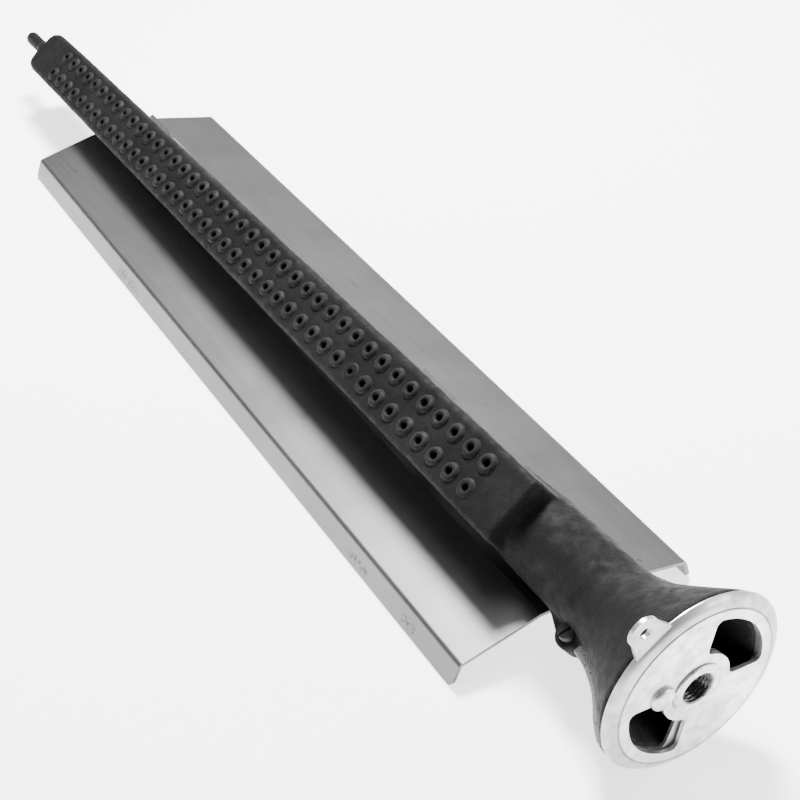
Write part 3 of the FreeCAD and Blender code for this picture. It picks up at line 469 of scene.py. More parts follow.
@dataclass(frozen=True)
class Finish:
    """What every finish has: a name, two colours and a shader."""

    name: str
    base: str
    tint: str
    metallic: float
    roughness: float
    roughness_spread: float

    def start(self) -> tuple[bpy.types.Material, bpy.types.NodeTree, bpy.types.Node]:
        """Makes the material with its shader, and the coordinates that its patterns read.

        Returns:
            The material, its tree and its shader node.
        """
        made = bpy.data.materials.new(self.name)
        made.use_nodes = True
        tree = made.node_tree
        tree.nodes.clear()
        shader = add(tree, "ShaderNodeBsdfPrincipled", {"Metallic": self.metallic})
        add(tree, "ShaderNodeOutputMaterial", links={"Surface": shader.outputs["BSDF"]})
        return made, tree, shader

    def pattern(self, tree: bpy.types.NodeTree, size_mm: float, detail: float = 4.0,
                stretch: Point = (1.0, 1.0, 1.0)) -> bpy.types.NodeSocket:
        """A noise on Object coordinates.

        Args:
            tree: The material's tree.
            size_mm: How large its features are, in millimetres.
            detail: How many finer layers it has.
            stretch: How much it is squeezed along each axis.

        Returns:
            The noise's value.
        """
        place = add(tree, "ShaderNodeTexCoord").outputs["Object"]
        if stretch != (1.0, 1.0, 1.0):
            place = add(tree, "ShaderNodeMapping", {"Scale": stretch},
                        {"Vector": place}).outputs["Vector"]
        made = add(tree, "ShaderNodeTexNoise", {"Scale": per_metre(size_mm), "Detail": detail},
                   {"Vector": place})
        return made.outputs["Fac"]

    def span(self, tree: bpy.types.NodeTree, value: bpy.types.NodeSocket, low: float, high: float,
             to_low: float, to_high: float) -> bpy.types.NodeSocket:
        """Maps a value from one range to another, with its ends held.

        Args:
            tree: The material's tree.
            value: The value that is mapped.
            low: Where its range starts.
            high: Where its range ends.
            to_low: What the start becomes.
            to_high: What the end becomes.

        Returns:
            The mapped value.
        """
        made = add(tree, "ShaderNodeMapRange",
                   {"From Min": low, "From Max": high, "To Min": to_low, "To Max": to_high},
                   {"Value": value})
        return made.outputs["Result"]

    def uneven(self, tree: bpy.types.NodeTree, value: bpy.types.NodeSocket, low: float,
               high: float) -> bpy.types.NodeSocket:
        """The roughness, spread either way by a pattern's value between low and high."""
        return self.span(tree, value, low, high, self.roughness - self.roughness_spread,
                         self.roughness + self.roughness_spread)

    def wire(self, tree: bpy.types.NodeTree, shader: bpy.types.Node,
             colour: bpy.types.NodeSocket, rough: bpy.types.NodeSocket,
             normal: bpy.types.NodeSocket) -> None:
        """Links the finished patterns to the shader.

        Args:
            tree: The material's tree.
            shader: Its shader node.
            colour: What feeds the base colour.
            rough: What feeds the roughness.
            normal: What feeds the normal.
        """
        for socket, value in (("Base Color", colour), ("Roughness", rough), ("Normal", normal)):
            tree.links.new(value, shader.inputs[socket])

    def blend(self, tree: bpy.types.NodeTree, share: bpy.types.NodeSocket,
              first: Colour | bpy.types.NodeSocket,
              second: Colour | bpy.types.NodeSocket) -> bpy.types.NodeSocket:
        """Mixes two colours, each a value or a socket.

        Args:
            tree: The material's tree.
            share: How much of the second shows, from none to one.
            first: The colour underneath.
            second: The colour on top.

        Returns:
            The mixed colour.
        """
        node = add(tree, "ShaderNodeMix", {"data_type": "RGBA"}, {0: share})
        for place, colour in ((6, first), (7, second)):
            if isinstance(colour, bpy.types.NodeSocket):
                tree.links.new(colour, node.inputs[place])
            else:
                node.inputs[place].default_value = colour
        return node.outputs[2]

    def product(self, tree: bpy.types.NodeTree,
                *values: bpy.types.NodeSocket) -> bpy.types.NodeSocket:
        """Multiplies values together.

        Args:
            tree: The material's tree.
            *values: The values.

        Returns:
            Their product.
        """
        total = values[0]
        for value in values[1:]:
            total = add(tree, "ShaderNodeMath", {"operation": "MULTIPLY"},
                        {0: total, 1: value}).outputs[0]
        return total

    def off_axis(self, tree: bpy.types.NodeTree) -> bpy.types.NodeSocket:
        """How far a point is from the part's Y axis.

        Args:
            tree: The material's tree.

        Returns:
            The distance, in metres.
        """
        place = add(tree, "ShaderNodeTexCoord").outputs["Object"]
        flat = add(tree, "ShaderNodeVectorMath", {"operation": "MULTIPLY", 1: (1.0, 0.0, 1.0)},
                   {0: place}).outputs["Vector"]
        return add(tree, "ShaderNodeVectorMath", {"operation": "LENGTH"},
                   {0: flat}).outputs["Value"]

    def bump(self, tree: bpy.types.NodeTree, height: bpy.types.NodeSocket, depth_mm: float,
             strength: float, under: bpy.types.NodeSocket | None = None) -> bpy.types.NodeSocket:
        """A bump whose full height is a depth in millimetres.

        Args:
            tree: The material's tree.
            height: The pattern that is raised.
            depth_mm: How deep it is.
            strength: How much of it shows.
            under: A coarser bump that this one lies on.

        Returns:
            The bumped normal.
        """
        links = {"Height": height}
        if under is not None:
            links["Normal"] = under
        made = add(tree, "ShaderNodeBump", {"Distance": depth_mm * MM, "Strength": strength}, links)
        return made.outputs["Normal"]


@dataclass(frozen=True)
class SandCastIron(Finish):
    """Grey iron poured in green sand and left as cast: near black, matt, with a sand-grain skin
    and a few paler rubbed spots on its high edges."""

    grain_mm: float = 0.9
    lump_mm: float = 5.0
    patch_mm: float = 22.0
    worn_edge: str = "#4A4948"
    pit: str = "#0B0B0C"

    def build(self) -> bpy.types.Material:
        """Makes the material.

        Returns:
            The material, with its patterns in its nodes.
        """
        made, tree, shader = self.start()
        grain = self.pattern(tree, self.grain_mm, 3.0)
        lumps = self.pattern(tree, self.lump_mm, 2.0)
        patches = self.pattern(tree, self.patch_mm, 3.0)
        dusty = self.span(tree, patches, 0.42, 0.68, 0.0, 1.0)
        colour = self.blend(tree, dusty, linear(self.base), linear(self.tint))
        rub = add(tree, "ShaderNodeNewGeometry").outputs["Pointiness"]
        edge = self.span(tree, rub, 0.515, 0.60, 0.0, 0.55)
        colour = self.blend(tree, edge, colour, linear(self.worn_edge))
        pits = self.span(tree, grain, 0.36, 0.46, 0.65, 0.0)
        colour = self.blend(tree, pits, colour, linear(self.pit))
        normal = self.bump(tree, lumps, 0.35, 0.55)
        normal = self.bump(tree, grain, 0.2, 0.9, normal)
        self.wire(tree, shader, colour, self.uneven(tree, lumps, 0.35, 0.65), normal)
        return made


@dataclass(frozen=True)
class ZincPlating(Finish):
    """Bright zinc on pressed steel: pale, slightly cloudy, with soft spangle patches a few
    millimetres across and fine scratches."""

    cloud_mm: float = 5.0
    scratch_mm: float = 1.2
    shoulder_mm: float = 0.0
    # Painted shade on the shoulder, darker than the flat face.
    shoulder_shade: str = "#7C7C7B"
    # Darker painted shade in the fold beside the flat face.
    fold_shade: str = "#3E3E3E"

    def build(self) -> bpy.types.Material:
        """Makes the material.

        Returns:
            The material, with its patterns in its nodes.
        """
        made, tree, shader = self.start()
        clouds = self.pattern(tree, self.cloud_mm, 5.0)
        wide = self.pattern(tree, self.cloud_mm * 4, 2.0)
        fine = self.pattern(tree, self.scratch_mm, 2.0, (1.0, 1.0, 6.0))
        dull_and_shade = self.span(tree, clouds, 0.40, 0.66, 0.0, 0.85)
        colour = self.blend(tree, dull_and_shade, linear(self.base), linear(self.tint))
        haze = self.span(tree, wide, 0.45, 0.65, 0.0, 0.5)
        colour = self.blend(tree, haze, colour, linear(self.tint))
        # Paints shade on the dished shoulder and in its fold, by distance from the axis.
        if self.shoulder_mm:
            colour = self.paint_shoulder_shade(tree, colour)
        normal = self.bump(tree, clouds, 0.05, 0.35)
        normal = self.bump(tree, fine, 0.012, 0.5, normal)
        self.wire(tree, shader, colour, self.uneven(tree, clouds, 0.35, 0.65), normal)
        return made

    def paint_shoulder_shade(self, tree: bpy.types.NodeTree,
                         colour: bpy.types.NodeSocket) -> bpy.types.NodeSocket:
        """Paints shade on the shoulder, and a darker painted shade in the fold beside the flat
        face.

        Args:
            tree: The material's tree.
            colour: The zinc's colour.

        Returns:
            The colour with the painted shade on the shoulder and in the fold.
        """
        out = self.off_axis(tree)
        fold = self.shoulder_mm * MM
        # Painted shade across the shoulder, rising outwards from the fold.
        dull_and_shade = self.span(tree, out, fold + 0.2 * MM, fold + 1.2 * MM, 0.0, 0.55)
        colour = self.blend(tree, dull_and_shade, colour, linear(self.shoulder_shade))
        # Darker painted shade in a narrow ring at the fold.
        dirt_and_shade = self.product(tree, self.span(tree, out, fold - 0.5 * MM, fold, 0.0, 0.75),
                            self.span(tree, out, fold + 0.4 * MM, fold + 1.0 * MM, 1.0, 0.0))
        return self.blend(tree, dirt_and_shade, colour, linear(self.fold_shade))


@dataclass(frozen=True)
class AluminisedSheet(Finish):
    """Hot-dip aluminised steel sheet as it leaves the mill: satin grey, rolled along its length,
    with faint roll streaks and scuffs."""

    streak_mm: float = 1.4
    haze_mm: float = 45.0
    scuff_mm: float = 7.0
    rub_grain_mm: float = 1.3
    rub_edge_mm: float = 0.5
    rubs_mm: tuple[tuple[float, float, float, float], ...] = ()
    scuff: str = "#4E4E4E"
    rub: str = "#141414"

    def build(self) -> bpy.types.Material:
        """Makes the material.

        Returns:
            The material, with its patterns in its nodes.
        """
        made, tree, shader = self.start()
        streaks = self.pattern(tree, self.streak_mm, 3.0, (1.0, 0.03, 1.0))
        haze = self.pattern(tree, self.haze_mm, 3.0)
        scuffs = self.pattern(tree, self.scuff_mm, 6.0, (1.0, 0.5, 1.0))
        cloud = self.span(tree, haze, 0.38, 0.66, 0.0, 0.7)
        colour = self.blend(tree, cloud, linear(self.base), linear(self.tint))
        marks = self.span(tree, scuffs, 0.66, 0.74, 0.0, 0.35)
        colour = self.blend(tree, marks, colour, linear(self.scuff))
        if self.rubs_mm:
            colour = self.rubbed(tree, colour)
        normal = self.bump(tree, haze, 0.6, 0.25)
        normal = self.bump(tree, streaks, 0.006, 0.3, normal)
        self.wire(tree, shader, colour, self.uneven(tree, streaks, 0.3, 0.7), normal)
        return made

    def rubbed(self, tree: bpy.types.NodeTree,
               colour: bpy.types.NodeSocket) -> bpy.types.NodeSocket:
        """Broken dark rubs, each within its own patch.

        Args:
            tree: The material's tree.
            colour: The sheet's colour.

        Returns:
            The colour with the rubs in it.
        """
        place = add(tree, "ShaderNodeTexCoord").outputs["Object"]
        split = add(tree, "ShaderNodeSeparateXYZ", links={0: place}).outputs
        grain = self.pattern(tree, self.rub_grain_mm, 4.0, (1.0, 0.7, 1.0))
        broken = self.span(tree, grain, 0.47, 0.60, 0.0, 0.85)
        for low_x, high_x, low_y, high_y in self.rubs_mm:
            parts = [broken]
            for value, low, high in ((split[0], low_x, high_x), (split[1], low_y, high_y)):
                for edge, before, after in ((low, 0.0, 1.0), (high, 1.0, 0.0)):
                    parts.append(self.span(tree, value, (edge - self.rub_edge_mm) * MM,
                                           (edge + self.rub_edge_mm) * MM, before, after))
            colour = self.blend(tree, self.product(tree, *parts), colour, linear(self.rub))
        return colour


@dataclass(frozen=True)
class TurnedSteel(Finish):
    """Free-cutting steel turned on a lathe or rolled into a screw: small tool marks, an oily
    sheen, a little grime, and painted shade inside a bore where one is given."""

    mark_mm: float = 0.5
    dirt_mm: float = 2.5
    # Radius of the bore that painted shade fills; none when it is zero.
    bore_mm: float = 0.0
    # The painted shade inside the bore.
    inside: str = "#1C1C1C"

    def build(self) -> bpy.types.Material:
        """Makes the material.

        Returns:
            The material, with its patterns in its nodes.
        """
        made, tree, shader = self.start()
        marks = self.pattern(tree, self.mark_mm, 2.0)
        dirt_and_shade = self.pattern(tree, self.dirt_mm, 4.0)
        share = self.span(tree, dirt_and_shade, 0.42, 0.7, 0.0, 0.8)
        colour = self.blend(tree, share, linear(self.base), linear(self.tint))
        # Paints shade inside the bore, strongest within it and fading out over its last half
        # millimetre.
        if self.bore_mm:
            within = self.span(tree, self.off_axis(tree), (self.bore_mm - 0.5) * MM,
                               self.bore_mm * MM, 0.85, 0.0)
            colour = self.blend(tree, within, colour, linear(self.inside))
        self.wire(tree, shader, colour, self.uneven(tree, dirt_and_shade, 0.3, 0.7),
                  self.bump(tree, marks, 0.02, 0.4))
        return made


@dataclass(frozen=True)
class Finishes:
    """Every finish on the object, built once."""

    iron: bpy.types.Material
    # Pale iron with a painted reflection, for the side ridge.
    fettled: bpy.types.Material
    shutter_zinc: bpy.types.Material
    plate_zinc: bpy.types.Material
    screw_zinc: bpy.types.Material
    hub: bpy.types.Material
    sheet: bpy.types.Material
    bracket: bpy.types.Material
    black_screw: bpy.types.Material
    spring: bpy.types.Material

    @classmethod
    def make(cls) -> "Finishes":
        """Builds the materials from typical values for each metal.

        Returns:
            All of them, by name.
        """
        return cls(
            iron=SandCastIron("sand_cast_grey_iron", "#111112", "#1C1C1C", 0.75, 0.76,
                              0.08).build(),
            # Pale iron that paints a grazing reflection on the bell's side ridge.
            fettled=SandCastIron("fettled_cast_iron", "#9A9A99", "#B0B0AF", 0.45, 0.55, 0.06,
                                 grain_mm=0.7).build(),
            # The shutter's zinc paints shade on its shoulder past 33 mm from the axis and in the
            # fold there.
            shutter_zinc=ZincPlating("bright_zinc_plate_mottled", "#F2F2F1", "#BDBDBC", 0.72, 0.36,
                                     0.08, shoulder_mm=33.0).build(),
            plate_zinc=ZincPlating("bright_zinc_plate_inner", "#E4E4E3", "#B4B4B3", 0.85, 0.38,
                                   0.06).build(),
            screw_zinc=TurnedSteel("zinc_plated_screw", "#D8D8D6", "#9A9A98", 0.90, 0.34,
                                   0.08).build(),
            # The hub paints shade inside its threaded bore, within 6.9 mm of the axis.
            hub=TurnedSteel("turned_steel_hub", "#D5D5D3", "#8E8E8C", 0.90, 0.32, 0.08,
                            bore_mm=6.9).build(),
            sheet=AluminisedSheet("aluminised_steel_sheet", "#6B6B6A", "#5E5E5D", 0.92, 0.42,
                                  0.02, rubs_mm=LIP_RUBS).build(),
            bracket=AluminisedSheet("mill_finish_steel_strip", "#8C8C8B", "#747473", 0.85, 0.46,
                                    0.06).build(),
            black_screw=TurnedSteel("blackened_screw", "#3A3A3A", "#232323", 0.80, 0.45,
                                    0.08).build(),
            spring=TurnedSteel("oiled_spring_steel", "#5A5A5C", "#3A3A3B", 0.90, 0.35,
                               0.06).build(),
        )


def dress(piece: bpy.types.Object, finish: bpy.types.Material) -> None:
    """Gives a piece one finish."""
    piece.data.materials.clear()
    piece.data.materials.append(finish)


def seat(piece: bpy.types.Object, body: Body, finish: bpy.types.Material,
         replaced: tuple[str, ...] = ()) -> None:
    """Finishes a piece: its material, its body and what it stands for.

    Args:
        piece: The piece, at the origin.
        body: The CAD body that it rides on.
        finish: Its material.
        replaced: The CAD nodes that it stands for.
    """
    dress(piece, finish)
    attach(piece, body.value)
    if replaced:
        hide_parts(*replaced)
    LOG.info("%s: %d faces on %s", piece.name, len(piece.data.polygons), body.value)


# ---------------------------------------------------------------------------- repeated pieces

@dataclass(frozen=True)
class Scatter:
    """A Geometry Nodes tree that stands one template on each of a few points."""

    seed: int = 11
    size_spread: float = 0.0
    lean: float = 0.0
    twist: float = FULL_TURN

    def tree(self) -> bpy.types.NodeTree:
        """Builds the tree: random turn and size on each point, made real and given its finish.

        Returns:
            The tree, whose inputs are the sizes that differ from piece to piece.
        """
        tree = bpy.data.node_groups.new(STAND_TREE, "GeometryNodeTree")
        face = tree.interface
        face.new_socket("Points", in_out="INPUT", socket_type="NodeSocketGeometry")
        for name, kind in (("Template", "Object"), ("Finish", "Material"), ("Seed", "Int"),
                           ("Size Spread", "Float"), ("Lean", "Float"), ("Twist", "Float")):
            face.new_socket(name, in_out="INPUT", socket_type="NodeSocket" + kind)
        face.new_socket("Geometry", in_out="OUTPUT", socket_type="NodeSocketGeometry")
        given = add(tree, "NodeGroupInput").outputs
        lean_low = add(tree, "ShaderNodeMath", {"operation": "MULTIPLY", 1: -1.0},
                       {0: given["Lean"]}).outputs[0]
        low = add(tree, "ShaderNodeCombineXYZ", links={"X": lean_low, "Y": lean_low}).outputs[0]
        high = add(tree, "ShaderNodeCombineXYZ", links={
            "X": given["Lean"], "Y": given["Lean"], "Z": given["Twist"]}).outputs[0]
        turn = add(tree, "FunctionNodeRandomValue", {"data_type": "FLOAT_VECTOR"},
                   {"Min": low, "Max": high, "Seed": given["Seed"]}).outputs["Value"]
        small = add(tree, "ShaderNodeMath", {"operation": "SUBTRACT", 0: 1.0},
                    {1: given["Size Spread"]}).outputs[0]
        large = add(tree, "ShaderNodeMath", {"operation": "ADD", 0: 1.0},
                    {1: given["Size Spread"]}).outputs[0]
        size = add(tree, "FunctionNodeRandomValue", {"data_type": "FLOAT"}, {
            2: small, 3: large, "Seed": given["Seed"]}).outputs[1]
        height = add(tree, "GeometryNodeInputNamedAttribute",
                     {"data_type": "FLOAT", "Name": "height"})
        tall = add(tree, "ShaderNodeMath", {"operation": "MULTIPLY"},
                   {0: size, 1: height.outputs[0]}).outputs[0]
        scale = add(tree, "ShaderNodeCombineXYZ",
                    links={"X": size, "Y": size, "Z": tall}).outputs[0]
        template = add(tree, "GeometryNodeObjectInfo", links={"Object": given["Template"]})
        stood = add(tree, "GeometryNodeInstanceOnPoints", links={
            "Points": given["Points"], "Instance": template.outputs["Geometry"],
            "Rotation": turn, "Scale": scale})
        real = add(tree, "GeometryNodeRealizeInstances", links={0: stood.outputs[0]})
        dressed = add(tree, "GeometryNodeSetMaterial", links={
            "Geometry": real.outputs[0], "Material": given["Finish"]})
        add(tree, "NodeGroupOutput", links={0: dressed.outputs[0]})
        return tree

    def stand(self, name: str, template: bpy.types.Object, finish: bpy.types.Material,
              places: list[Point], place: Matrix, heights: list[float] | None = None,
              ) -> bpy.types.Object:
        """Stands the template on every point and makes one plain mesh of the result.

        Args:
            name: The new piece's name.
            template: What is repeated, with its foot at zero and its axis along +Z.
            finish: Its material.
            places: The points, in millimetres, in the frame that place puts into the part's.
            place: The matrix that puts the result into the part's frame.
            heights: How tall each copy is, as a share; one where it isn't given.

        Returns:
            The piece, at the origin.
        """
        mesh = bpy.data.meshes.new(name)
        mesh.from_pydata([Vector(p) * MM for p in places], [], [])
        share = mesh.attributes.new("height", "FLOAT", "POINT")
        share.data.foreach_set("value", heights or [1.0] * len(places))
        piece = link_new(name, mesh)
        step = piece.modifiers.new("stand", "NODES")
        step.node_group = bpy.data.node_groups.get(STAND_TREE) or self.tree()
        values = {"Template": template, "Finish": finish, "Seed": self.seed,
                  "Size Spread": self.size_spread, "Lean": self.lean, "Twist": self.twist}
        for item in step.node_group.interface.items_tree:
            if item.in_out == "INPUT" and item.name in values:
                step[item.identifier] = values[item.name]
        bake(piece)
        piece.data.transform(place)
        bpy.data.objects.remove(template)
        return piece


# ---------------------------------------------------------------------------- the casting

@dataclass
class BurnerCasting:
    """The iron casting: bell, venturi tube, bar, lug, rib and tail pin. u is across, y along the
    axis, and n stands out of the port face."""

    bell_face: float = 0.9
    bell_rim: float = 37.3
    bell_rim_width: float = 1.6
    rim_chamfer: float = 0.8
    bell_slope: float = 33.0
    bell_arc: float = 46.0
    mouth: float = 28.0
    mouth_slope: float = 28.0
    mouth_arc: float = 40.0
    tube: float = 17.4
    tube_end: float = 17.0
    bore: float = 12.8
    bar_start: float = 87.0
    bar_end: float = 590.0
    half_near: float = 14.9
    half_far: float = 13.7
    bottom: float = 6.0
    port_face: float = 25.5
    top_round: float = 2.8
    low_round: float = 2.5
    shoulder: float = 9.0
    shoulder_steps: int = 9
    station_step: float = 4.0
    blend: float = 60.0
    belly_half: float = 4.0
    belly_rise: float = 5.0
    pin: float = 4.0
    pin_length: float = 24.0
    pin_drop: float = 4.6
    lug_y: float = 46.0
    lug_out: float = 18.2
    lug: float = 6.2
    lug_low: float = -6.0
    lug_top: float = 4.5
    rib: float = 3.2
    ridge_low: float = -1.6
    ridge_high: float = 3.6
    voxel: float = 0.95
    port_pitch: float = 11.11
    port_first: float = 109.6
    ports_a_row: int = 41
    rows_apart: float = 12.3
    port_bore: float = 1.9
    port_depth: float = 4.4
    # The rings that the mould didn't fill: a port's number, and its ring's height as a share.
    badly_filled: tuple[tuple[int, float], ...] = ((0, 0.6), (16, 0.3))

    def flare(self, mouth: float, mouth_y: float, throat: float, slope: float, arc: float,
              steps: int = 14) -> Profile:
        """A cone that an arc joins to a throat.

        Args:
            mouth: The radius at the mouth, in millimetres.
            mouth_y: Where the mouth is along the axis.
            throat: The radius that it narrows to.
            slope: The cone's half angle, in degrees.
            arc: The radius of the arc.
            steps: How many steps the arc has.

        Returns:
            The profile, from the mouth inwards.
        """
        lean = math.radians(slope)
        meet = mouth_y + (mouth - throat) / math.tan(lean)
        end = meet + arc * math.tan(lean / 2)
        curve = [(throat + arc * (1 - math.cos(turn)), end - arc * math.sin(turn))
                 for turn in (lean * (1 - step / steps) for step in range(steps + 1))]
        return [(mouth, mouth_y)] + curve

    def bell(self) -> bpy.types.Object:
        """The bell mouth and the tube, hollow, from their two flared profiles.

        Returns:
            A closed shell of revolution.
        """
        cone = self.bell_face + self.bell_rim_width
        outer = self.flare(self.bell_rim, cone, self.tube, self.bell_slope, self.bell_arc)
        inner = self.flare(self.mouth, self.bell_face, self.bore, self.mouth_slope, self.mouth_arc)
        end = self.bar_start + 1
        profile = [(self.bell_rim - self.rim_chamfer, self.bell_face),
                   (self.bell_rim, self.bell_face + self.rim_chamfer)]
        profile += outer + [(self.tube_end, end), (self.bore, end)] + inner[::-1]
        return lathe("bell", profile, 160)

    def section(self, y: float, half: float, top: float, low: float) -> list[Point]:
        """One rounded-rectangle section of the bar.

        Args:
            y: Where it is along the axis.
            half: Half its width.
            top: Its top, as n.
            low: Its bottom, as n.

        Returns:
            Its corners.
        """
        high_r = min(self.top_round, half * 0.9, (top - low) * 0.45)
        low_r = min(self.low_round, half * 0.9, (top - low) * 0.45)
        corners = [(half, low, low_r), (half, top, high_r),
                   (-half, top, high_r), (-half, low, low_r)]
        return [(u, y, n) for u, n in rounded_outline(corners, 6)]

    def bar(self) -> bpy.types.Object:
        """The bar, tapering to rounded shoulders at the tail, as sections along the axis.

        Returns:
            A closed solid.
        """
        sections = []
        straight = self.bar_end - self.shoulder - self.bar_start
        stations = [self.bar_start + self.station_step * step
                    for step in range(int(straight / self.station_step) + 1)]
        last = self.shoulder_steps
        stations += [self.bar_end - self.shoulder * (1 - math.sin(math.pi / 2 * step / last))
                     for step in range(last + 1)]
        for y in stations:
            share = (y - self.bar_start) / (self.bar_end - self.bar_start)
            half = self.half_near + (self.half_far - self.half_near) * share
            past = max(0.0, y - (self.bar_end - self.shoulder))
            half += math.sqrt(max(0.0, self.shoulder ** 2 - past ** 2)) - self.shoulder
            over = max(0.0, y - (self.bar_end - self.top_round))
            top = self.port_face - self.top_round
            top += math.sqrt(max(0.0, self.top_round ** 2 - over ** 2))
            sections.append(self.section(y, half, top, self.bottom))
        return loft("bar", sections)

    def throat(self) -> bpy.types.Object:
        """The solid belly where the round tube sweeps up into the flat bar.

        Returns:
            A closed solid.
        """
        sections = []
        steps, around = 16, 64
        for step in range(steps + 1):
            share = step / steps
            ease = share * share * (3 - 2 * share) * 0.4 + share * 0.6
            wide = self.tube_end + (self.half_near - self.low_round - self.tube_end) * ease
            tall = self.tube_end + (self.belly_half - self.tube_end) * ease
            middle = (self.bottom + self.belly_rise) * ease
            y = self.bar_start + self.blend * share
            sections.append([(wide * math.cos(FULL_TURN * k / around), y,
                              middle + tall * math.sin(FULL_TURN * k / around))
                             for k in range(around)])
        return loft("throat", sections)

    def pin_solid(self) -> bpy.types.Object:
        """The tail pin, with a swollen root and a rounded tip.

        Returns:
            A closed solid.
        """
        tip = self.bar_end + self.pin_length
        profile = [(0.0, self.bar_end - 6), (5.4, self.bar_end - 6), (5.2, self.bar_end - 0.6),
                   (4.5, self.bar_end + 1.4), (self.pin, self.bar_end + 3.4), (self.pin, tip - 2.2),
                   (self.pin - 0.7, tip - 0.8), (self.pin - 1.9, tip), (0.0, tip)]
        return lathe("pin", profile, 48, centre=(0.0, 0.0, self.port_face - self.pin_drop))

    def lug_solids(self) -> list[bpy.types.Object]:
        """The lug for the side screw, its neck, and the rib that runs to the bell.

        Returns:
            Three closed solids.
        """
        stand = Matrix.Translation(Vector((-self.lug_out, self.lug_y, self.lug_low)) * MM)
        boss = rod("lug", self.lug, 0.0, self.lug_top - self.lug_low, 48, stand @ UPRIGHT)
        neck = prism("neck", [(-self.lug_out, self.lug_low), (-self.bore - 1.5, self.lug_low),
                              (-self.bore - 1.5, self.lug_top), (-self.lug_out, self.lug_top)],
                     self.lug_y - self.lug, 2 * self.lug)
        edge = [(36.6, 2.0), (35.6, 5.0), (33.8, 10.0), (31.0, 15.0), (28.5, 20.0), (26.1, 25.0),
                (24.2, 30.0), (22.8, 35.0), (21.6, 53.0), (14.0, 68.0), (14.0, 40.0), (27.0, 2.5)]
        rib = loft("rib", [[(-u, y, n) for u, y in edge] for n in (-self.rib / 2, self.rib / 2)])
        return [boss, neck, rib]

    def fettled_edge(self, finishes: Finishes, hold: Attitude) -> None:
        """The flat ridge on the bell's side, in pale iron that paints a grazing reflection on it.

        Args:
            finishes: The object's finishes.
            hold: The burner's attitude.
        """
        outer = [(37.7, 1.5), (38.2, 4.0), (38.0, 6.9), (37.3, 9.4), (35.5, 12.8), (33.0, 16.4),
                 (30.1, 19.7), (27.5, 23.2), (25.4, 27.2), (23.5, 31.6), (22.3, 36.0), (21.6, 40.5)]
        inner = [(16.5, 40.5), (18.0, 30.0), (21.0, 22.0), (25.0, 14.0), (29.5, 6.0), (32.0, 1.5)]
        sections = [[(-u, y, n) for u, y in outer + inner]
                    for n in (self.ridge_low, self.ridge_high)]
        # The ridge's pale iron is a painted reflection.
        edge = loft("fettled_side_ridge", sections, hold.burner())
        soften(edge, 0.8, 3, 50.0, 60.0)
        seat(edge, Body.BURNER, finishes.fettled)

    def roughen(self, piece: bpy.types.Object) -> None:
        """Moves the skin in and out a little, as the sand mould leaves it.

        Args:
            piece: The casting, before its ports are drilled.
        """
        work = bmesh.new()
        work.from_mesh(piece.data)
        work.normal_update()
        for corner in work.verts:
            spot = corner.co / MM
            if spot.y < self.bell_face + 1.2:
                continue
            broad = noise.noise(spot / 26.0)
            lumps = noise.noise(spot / 6.5 + Vector((7, 3, 1)))
            grit = noise.noise(spot / 2.4 + Vector((1, 9, 4)))
            on_face = 1.6 if spot.z > self.port_face - 1.0 and spot.y > self.bar_start else 1.0
            rise = 0.16 * broad + on_face * (0.13 * lumps + 0.07 * grit)
            corner.co += corner.normal * rise * MM
        work.to_mesh(piece.data)
        work.free()

    def port_places(self) -> list[Point]:
        """The middle of each port on the port face.

        Returns:
            The ports from the bell to the tail, left and right in turn.
        """
        return [(side * self.rows_apart / 2, self.port_first + index * self.port_pitch,
                 self.port_face) for index in range(self.ports_a_row) for side in (-1, 1)]

    def build(self, finishes: Finishes, hold: Attitude) -> None:
        """Makes the casting's skin and the ring of iron round each port.

        Args:
            finishes: The object's finishes.
            hold: The burner's attitude.
        """
        parts = [self.bell(), self.bar(), self.throat(), self.pin_solid()] + self.lug_solids()
        skin = join("cast_iron_bar_and_venturi", parts)
        cells = skin.modifiers.new("cast", "REMESH")
        cells.mode = "VOXEL"
        cells.voxel_size = self.voxel * MM
        ease = skin.modifiers.new("ease", "SMOOTH")
        ease.factor = 0.5
        ease.iterations = 3
        bake(skin)
        self.roughen(skin)
        drill = rod("drill", self.port_bore, -self.port_depth, 1.5, 16, UPRIGHT)
        holes = Scatter(twist=0.0).stand("holes", drill, finishes.iron, self.port_places(),
                                         Matrix.Identity(4))
        combine(skin, [holes], "DIFFERENCE")
        skin.data.transform(hold.burner())
        shade(skin, 60.0)
        seat(skin, Body.BURNER, finishes.iron, ("venturi_casting", "bar_casting"))
        self.bosses(finishes, hold)
        self.fettled_edge(finishes, hold)

    def bosses(self, finishes: Finishes, hold: Attitude) -> None:
        """The raised ring round each port, with a few badly filled ones.

        Args:
            finishes: The object's finishes.
            hold: The burner's attitude.
        """
        ring = [(0.0, -3.9), (1.75, -3.9), (1.75, -0.7), (4.4, -0.7), (4.25, 0.05), (3.95, 0.6),
                (3.45, 1.12), (2.9, 1.42), (2.3, 1.45), (1.85, 1.2), (1.55, 0.7), (1.45, 0.0),
                (1.4, -3.4), (0.0, -3.4)]
        boss = lathe("boss", ring, 24, UPRIGHT)
        shade(boss, 60.0)
        heights = [1.0 - 0.16 * abs(noise.noise(Vector(p) / 9.0)) for p in self.port_places()]
        for port, share in self.badly_filled:
            heights[port] = share
        rings = Scatter(seed=5, size_spread=0.05, lean=math.radians(3.0)).stand(
            "port_rings", boss, finishes.iron, self.port_places(), hold.burner(), heights)
        seat(rings, Body.BURNER, finishes.iron)


# ---------------------------------------------------------------------------- the air shutter

